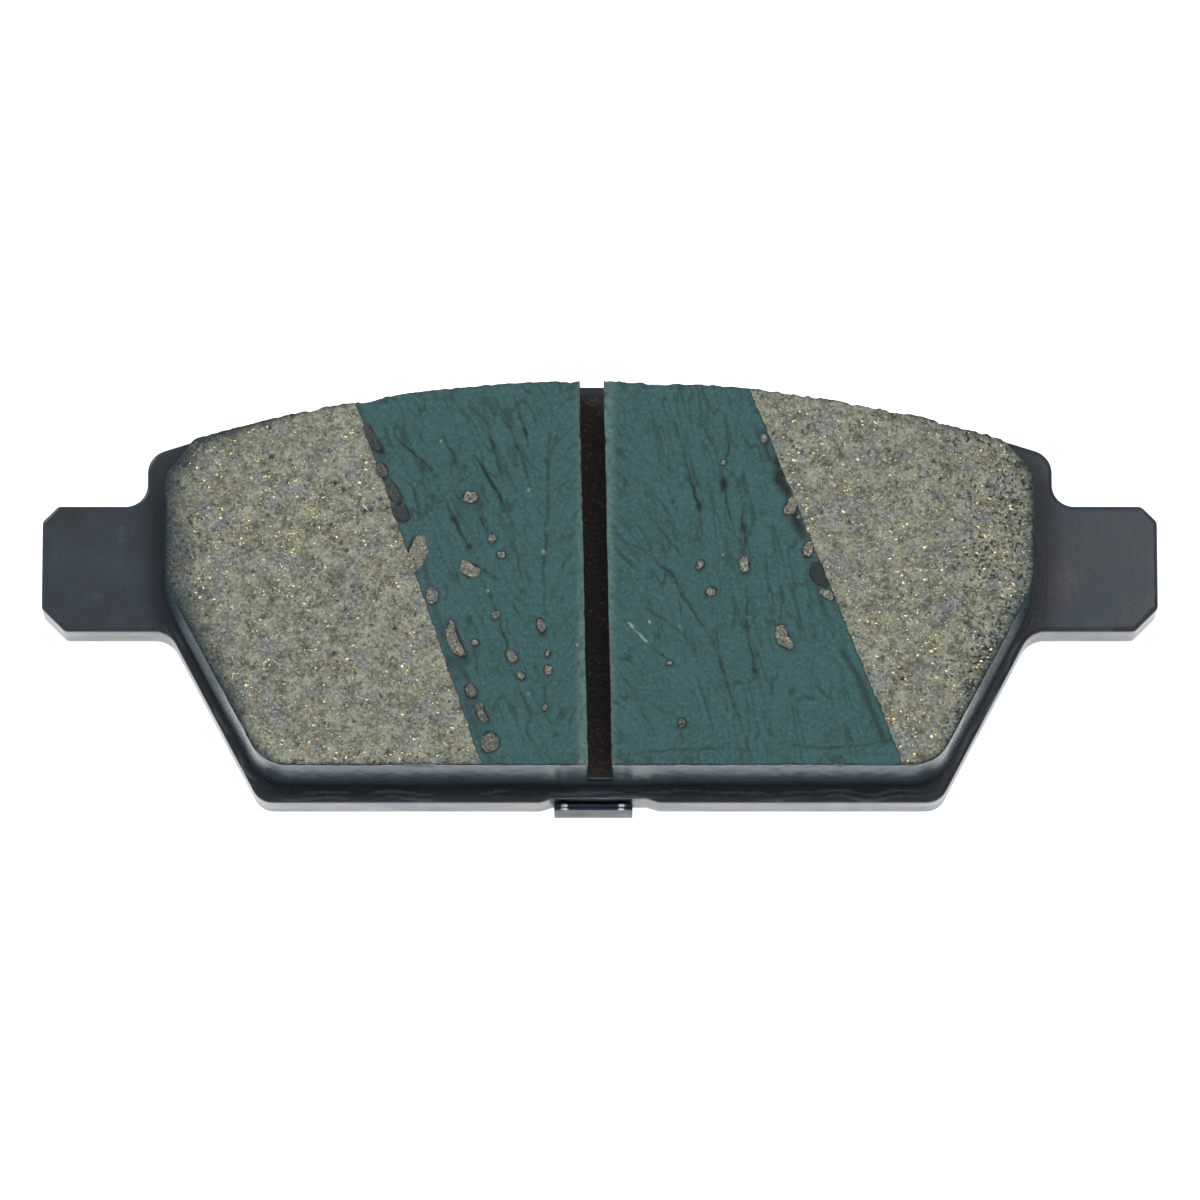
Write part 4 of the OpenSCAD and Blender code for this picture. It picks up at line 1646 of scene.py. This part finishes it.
@dataclass
class BackingPlate:
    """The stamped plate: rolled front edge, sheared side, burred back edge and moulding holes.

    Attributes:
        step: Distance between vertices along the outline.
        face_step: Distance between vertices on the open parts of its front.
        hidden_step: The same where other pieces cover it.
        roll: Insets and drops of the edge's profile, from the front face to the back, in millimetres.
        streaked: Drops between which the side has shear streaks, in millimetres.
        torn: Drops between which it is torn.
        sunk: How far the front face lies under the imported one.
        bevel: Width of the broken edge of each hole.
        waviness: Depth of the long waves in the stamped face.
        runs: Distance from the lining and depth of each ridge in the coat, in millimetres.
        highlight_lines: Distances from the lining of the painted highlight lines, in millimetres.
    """

    step: float = 0.24 * MM
    face_step: float = 0.24 * MM
    hidden_step: float = 2.5 * MM
    roll: Sequence[tuple[float, float]] = (
        (0.62, 0.0), (0.40, 0.012), (0.24, 0.045), (0.12, 0.11), (0.045, 0.21), (0.008, 0.34), (0.0, 0.5),
        (0.0, 1.1), (0.012, 1.9), (0.03, 2.9), (0.05, 3.9), (0.055, 4.8),
        (0.07, 5.2), (0.12, 5.4), (0.22, 5.48), (0.36, 5.5),
    )
    streaked: tuple[float, float] = (0.6, 5.1)
    torn: tuple[float, float] = (1.5, 3.5)
    sunk: float = 0.03 * MM
    bevel: float = 0.25 * MM
    waviness: float = 0.012 * MM
    runs: Sequence[tuple[float, float]] = ((0.5, 0.045), (0.95, 0.035), (1.5, 0.02))
    highlight_lines: Sequence[float] = (0.7, 1.3, 2.0)

    def height(self, places: Array, top: float, lining: Array) -> Array:
        """The front face's height.

        Args:
            places: Points on the face.
            top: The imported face's height.
            lining: Points along the lining's foot.

        Returns:
            Heights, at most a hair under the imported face.
        """
        waves = self.waviness * (1.0 + grain(places, 7.0 * MM, 11)) / 2
        gap = nearest(places, lining)[0] / MM
        wander = gap + 0.14 * grain(places, 2.6 * MM, 13)
        ridges = sum(depth * bell(wander, at, 0.11) for at, depth in self.runs)
        ridges = ridges * (0.5 + 0.5 * grain(places, 3.5 * MM, 17)) * MM
        fillet = 0.05 * MM * np.exp(-gap / 0.25)
        return top - self.sunk - waves + ridges + fillet * 0.5

    def build(self) -> bpy.types.Object:
        """Makes the plate.

        Returns:
            The piece, with overspray and painted shade, dust and painted highlights stored on it.
        """
        low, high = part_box("backing_plate")
        top, thick = high[2], high[2] - low[2]
        outline, *holes = (loop.resampled(self.step) for loop in top_outlines("backing_plate"))
        foot = top_outlines("underlayer")[0]
        foot_points = foot.resampled(0.2 * MM).points
        front = partial(self.height, top=top, lining=foot_points)
        shell = Shell()
        rings = self._side(shell, outline, front, top, thick)
        mouths = [self._hole(shell, hole, top, thick) for hole in holes]
        fine = scattered(
            Outline(shell.points[rings[0]][:, :2]), self.face_step, 0.6 * self.face_step, 3,
            lambda at: ~foot.holds(at) | (nearest(at, foot_points)[0] < 0.6 * MM),
        )
        coarse = scattered(
            outline, self.hidden_step, self.hidden_step, 4,
            lambda at: foot.holds(at) & (nearest(at, foot_points)[0] > 1.0 * MM) & self._clear(at, holes),
        )
        shell.cap([rings[0], *(mouth[0] for mouth in mouths)], np.vstack([fine, coarse]), front)
        back = scattered(outline, self.hidden_step, self.hidden_step, 6, lambda at: self._clear(at, holes))
        shell.cap([rings[-1], *(mouth[-1] for mouth in mouths)], back, low[2])
        piece = shell.finished("stamped_plate")
        self._paint(piece, shell.points, foot_points)
        return piece

    def _side(self, shell: Shell, outline: Outline, front: Field, top: float, thick: float) -> list[Array]:
        """Makes the plate's side.

        Args:
            shell: The plate's shell.
            outline: Its outline, finely divided.
            front: Gives the front face's height.
            top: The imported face's height.
            thick: The plate's thickness.

        Returns:
            Rows of vertices, from the front face to the back.
        """
        out = outline.normals()
        slanted = [outline.points @ np.array(way) for way in ((1.0, 0.7), (-0.7, 1.0))]
        streak = grain(np.stack(slanted, axis=1), 0.5 * MM, 19)
        torn = 0.035 * MM * np.clip(0.4 + grain(outline.points, 3.2 * MM, 29), 0, 1)
        scale = thick / (self.roll[-1][1] * MM)
        rings = []
        for inset, drop in self.roll:
            rolled = min(1.0, drop / 0.5)
            sheared = 0.010 * MM * streak * (self.streaked[0] < drop < self.streaked[1])
            sheared = sheared - torn * (self.torn[0] < drop < self.torn[1])
            places = outline.points + out * (sheared - inset * MM)[:, None]
            face = front(places) if rolled < 1.0 else top
            rings.append(shell.add(places, (1 - rolled) * face + rolled * top - drop * MM * scale))
        shell.band(rings)
        return rings

    def _hole(self, shell: Shell, hole: Outline, top: float, thick: float) -> list[Array]:
        """Makes the wall of a hole.

        Args:
            shell: The plate's shell.
            hole: The hole's outline, finely divided.
            top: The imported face's height.
            thick: The plate's thickness.

        Returns:
            Rows of vertices, from the front face to the back.
        """
        out = hole.normals()
        bevel = self.bevel
        rows = [
            shell.add(hole.points + out * grow, top - self.sunk * (drop == 0) - drop)
            for grow, drop in ((bevel, 0.0), (0.0, bevel), (0.0, thick - bevel), (bevel, thick))
        ]
        shell.band(rows)
        return rows

    def _paint(self, piece: bpy.types.Object, points: Array, lining: Array) -> None:
        """Stores the overspray and painted shade beside the lining, its painted highlight lines and ear dust.

        Args:
            piece: The plate.
            points: Its vertices.
            lining: Points along the lining's foot.
        """
        places = points[:, :2]
        x, y = places.T / MM
        gap = nearest(places, lining)[0] / MM
        front = points[:, 2] > points[:, 2].max() - 0.15 * MM
        # Darker beside the lining: overspray, and painted shade from the lining's wall.
        paint(piece, "overspray_and_shade", front * smooth_step(gap, 3.6, 0.6))
        # Painted highlight lines along the lining; the patches on the ears below are dust.
        wander = gap + 0.3 * grain(places, 3.0 * MM, 33) + 0.1 * grain(places, 0.9 * MM, 35)
        lines = sum(bell(wander, at, 0.16) for at in self.highlight_lines)
        lines *= np.clip(0.6 + grain(places, 2.2 * MM, 37), 0, 1) * smooth_step(-y, 0, 6)
        ears = 0.5 * smooth_step(np.abs(x), 44, 46) * np.clip(rough(places, 3 * MM, 39), 0, 1)
        ears += 0.5 * bell(x, -48.4, 0.4) * np.clip(rough(places, 0.7 * MM, 43), 0, 1)
        paint(piece, "dust_and_sheen", np.clip(lines + ears, 0, 1))

    @staticmethod
    def _clear(places: Array, holes: Sequence[Outline]) -> Array:
        """Which places are well outside all holes."""
        away = [np.linalg.norm(places - hole.points.mean(axis=0), axis=1) for hole in holes]
        return np.min(away, axis=0) >= 6.2 * MM


@dataclass
class ShimSheet:
    """One steel sheet of the shim, with its cut edges broken and its folded tabs.

    Attributes:
        node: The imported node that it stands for.
        bevel: Width of the broken edge.
        cuts: Extra vertices along each long edge of a tab's end.
    """

    node: str
    bevel: float = 0.05 * MM
    cuts: int = 24

    def build(self) -> bpy.types.Object:
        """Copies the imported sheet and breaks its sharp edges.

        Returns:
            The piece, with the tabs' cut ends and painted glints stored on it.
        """
        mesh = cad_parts[self.node].data.copy()
        mesh.materials.clear()
        work = bmesh.new()
        work.from_mesh(mesh)
        bmesh.ops.remove_doubles(work, verts=work.verts, dist=0.1 * MERGE)
        bmesh.ops.dissolve_limit(work, angle_limit=math.radians(1), verts=work.verts, edges=work.edges)
        sharp = [e for e in work.edges if e.is_manifold and e.calc_face_angle(0.0) > math.radians(40)]
        bmesh.ops.bevel(
            work, geom=sharp, offset=self.bevel, segments=2, profile=0.6, affect="EDGES", clamp_overlap=True
        )
        tip = max(v.co.z for v in work.verts)
        ends = np.array([v.co.xy.to_tuple() for v in work.verts if v.co.z > tip - 0.1 * MM])
        high = [e for e in work.edges if min(v.co.z for v in e.verts) > tip - 0.5 * MM]
        long = [e for e in high if e.calc_length() > 2 * MM]
        bmesh.ops.subdivide_edges(work, edges=long, cuts=self.cuts, use_grid_fill=True)
        bmesh.ops.triangulate(work, faces=[f for f in work.faces if len(f.verts) > 4])
        bmesh.ops.recalc_face_normals(work, faces=work.faces)
        work.to_mesh(mesh)
        work.free()
        mesh.shade_smooth()
        mesh.set_sharp_from_angle(angle=math.radians(35))
        piece = placed(self.node.replace("shim", "sheet"), mesh)
        points = np.array([v.co[:] for v in mesh.vertices])
        at_tip = points[:, 2] > tip - 0.03 * MM
        paint(piece, "cut", at_tip)
        # Painted glints about 1 mm in from the corners of each tab's end.
        paint(piece, "glint", at_tip * bell(nearest(points[:, :2], ends)[0] / MM, 1.0, 0.5))
        return piece


# ---------------------------------------------------------------- studio


@dataclass
class Studio:
    """A white floor, soft light from all round and a long lens almost straight above the face.

    Attributes:
        elevation: The camera's height over the horizon, in degrees.
        distance: The camera's distance.
        width: Width of the picture at the plate.
        aim: The point in the middle of the picture.
        sensor: Width of the camera's sensor, in millimetres.
        floor: Half the width of the floor, with its edge far outside the picture.
        glow: How strongly the floor is lit from below, like a light table.
        horizon: Strength of the surrounding light near the horizon.
        zenith: Its strength overhead.
        lamps: Name, place, width and power of each lamp.
    """

    elevation: float = 77.6
    distance: float = 1.1
    width: float = 121.2 * MM
    aim: tuple[float, float, float] = (0.02 * MM, -0.52 * MM, 6.36 * MM)
    sensor: float = 36.0
    floor: float = 1.5
    glow: float = 1.0
    horizon: float = 0.25
    zenith: float = 0.95
    lamps: Sequence[tuple[str, tuple[float, float, float], float, float]] = (
        ("key", (-0.6, 0.55, 0.55), 0.3, 2.6),
        ("overhead", (0.17, 0.2, 0.85), 0.22, 0.4),
    )

    def build(self) -> None:
        """Makes the floor, the light and the camera."""
        self._floor()
        self._light()
        self._camera()

    def _floor(self) -> None:
        """Makes the floor, just under the part."""
        mesh = bpy.data.meshes.new("floor")
        corners = [(x * self.floor, y * self.floor) for x, y in ((-1, -1), (1, -1), (1, 1), (-1, 1))]
        mesh.from_pydata([(x, y, -0.02 * MM) for x, y in corners], [], [(0, 1, 2, 3)])
        material = bpy.data.materials.new("opal_acrylic")
        material.use_nodes = True
        shader = material.node_tree.nodes["Principled BSDF"]
        shader.inputs["Base Color"].default_value = linear("#f6f6f6")
        shader.inputs["Roughness"].default_value = 0.9
        shader.inputs["Emission Color"].default_value = (1.0, 1.0, 1.0, 1.0)
        shader.inputs["Emission Strength"].default_value = self.glow
        mesh.materials.append(material)
        floor = placed("floor", mesh)
        floor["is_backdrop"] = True

    def _light(self) -> None:
        """Lights the scene from all round, and a little more from above left."""
        world = bpy.data.worlds.new("studio")
        world.use_nodes = True
        background = world.node_tree.nodes["Background"]
        background.inputs["Color"].default_value = (0.97, 0.99, 1.0, 1.0)
        way = add_node(world.node_tree, "TexCoord", {}, "Generated")
        rise = add_node(world.node_tree, "SeparateXYZ", {0: way}, "Z")
        inputs = {0: rise, 1: 0.0, 2: 0.75, 3: self.horizon, 4: self.zenith}
        shade = add_node(world.node_tree, "MapRange", inputs, interpolation_type="SMOOTHSTEP")
        world.node_tree.links.new(shade, background.inputs["Strength"])
        bpy.context.scene.world = world
        for name, place, size, power in self.lamps:
            lamp = bpy.data.lights.new(name, "AREA")
            lamp.size = size
            lamp.energy = power
            holder = placed(name, lamp)
            holder.location = place
            holder.rotation_euler = (-Vector(place)).to_track_quat("-Z", "Y").to_euler()
        bpy.context.scene.view_settings.view_transform = "Standard"

    def _camera(self) -> None:
        """Places the camera."""
        camera = bpy.data.cameras.new("camera")
        camera.sensor_width = self.sensor
        camera.lens = self.sensor * self.distance / self.width
        camera.clip_end = 10.0
        tilt = math.radians(self.elevation)
        holder = placed("camera", camera)
        away = Vector((0.0, -math.cos(tilt), math.sin(tilt))) * self.distance
        holder.location = Vector(self.aim) + away
        holder.rotation_euler = Euler((math.pi / 2 - tilt, 0.0, 0.0))
        bpy.context.scene.camera = holder


# ---------------------------------------------------------------- the whole pad


def wear(piece: bpy.types.Object, finish: Finish, body: str, slot: str, *nodes: str) -> None:
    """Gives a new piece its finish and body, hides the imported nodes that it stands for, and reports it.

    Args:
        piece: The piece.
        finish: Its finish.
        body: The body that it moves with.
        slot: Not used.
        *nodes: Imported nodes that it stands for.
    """
    piece.data.materials.clear()
    piece.data.materials.append(bpy.data.materials.get(finish.name) or finish.build())
    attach(piece, body)
    if nodes:
        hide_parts(*nodes)
    LOG.info("%s: %d faces on %s", piece.name, len(piece.data.polygons), body)


def repaint(finish: Finish, *nodes: str) -> None:
    """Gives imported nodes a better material, and reports them.

    Args:
        finish: The material's finish.
        *nodes: Names of the nodes.
    """
    material = finish.build()
    for node in nodes:
        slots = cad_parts[node].data.materials
        slots.clear()
        slots.append(material)
        LOG.info("%s: repainted with %s", node, finish.name)


def main() -> None:
    """Builds the studio and every piece of the pad."""
    logging.basicConfig(level=logging.INFO, format="%(name)s: %(message)s")
    cad_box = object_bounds()
    Studio().build()
    lining = Lining()
    wear(lining.build(), FRICTION_COMPOUND, PAD, "friction", "friction_block")
    coatings = (LEFT_COATING, RIGHT_COATING)
    for coating in coatings:
        film, crumbs = coating.build(lining)
        wear(film, BREAK_IN_COAT, PAD, "coating_green", coating.node)
        wear(crumbs, STUCK_DUST, PAD, "friction")
    covered = [top_outlines(coating.node)[0] for coating in coatings]
    wear(BrassChips().build(lining, covered), BRASS_CHIP, PAD, "friction")
    wear(BackingPlate().build(), POWDER_COAT, PAD, "plate_coat", "backing_plate")
    for node, slot in (("shim_outer_steel", "shim_steel_outer"), ("shim_inner_steel", "shim_steel_inner")):
        wear(ShimSheet(node).build(), ROLLED_STEEL, SHIM, slot, node)
    repaint(NITRILE_RUBBER, "shim_outer_rubber", "shim_inner_rubber")
    repaint(DAMPING_CORE, "shim_damping_core")
    repaint(PAINTED_EDGE, "underlayer", "bonding_adhesive")
    [[list(corner) for corner in box] for box in (cad_box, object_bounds())]


if __name__ == "__main__":
    main()
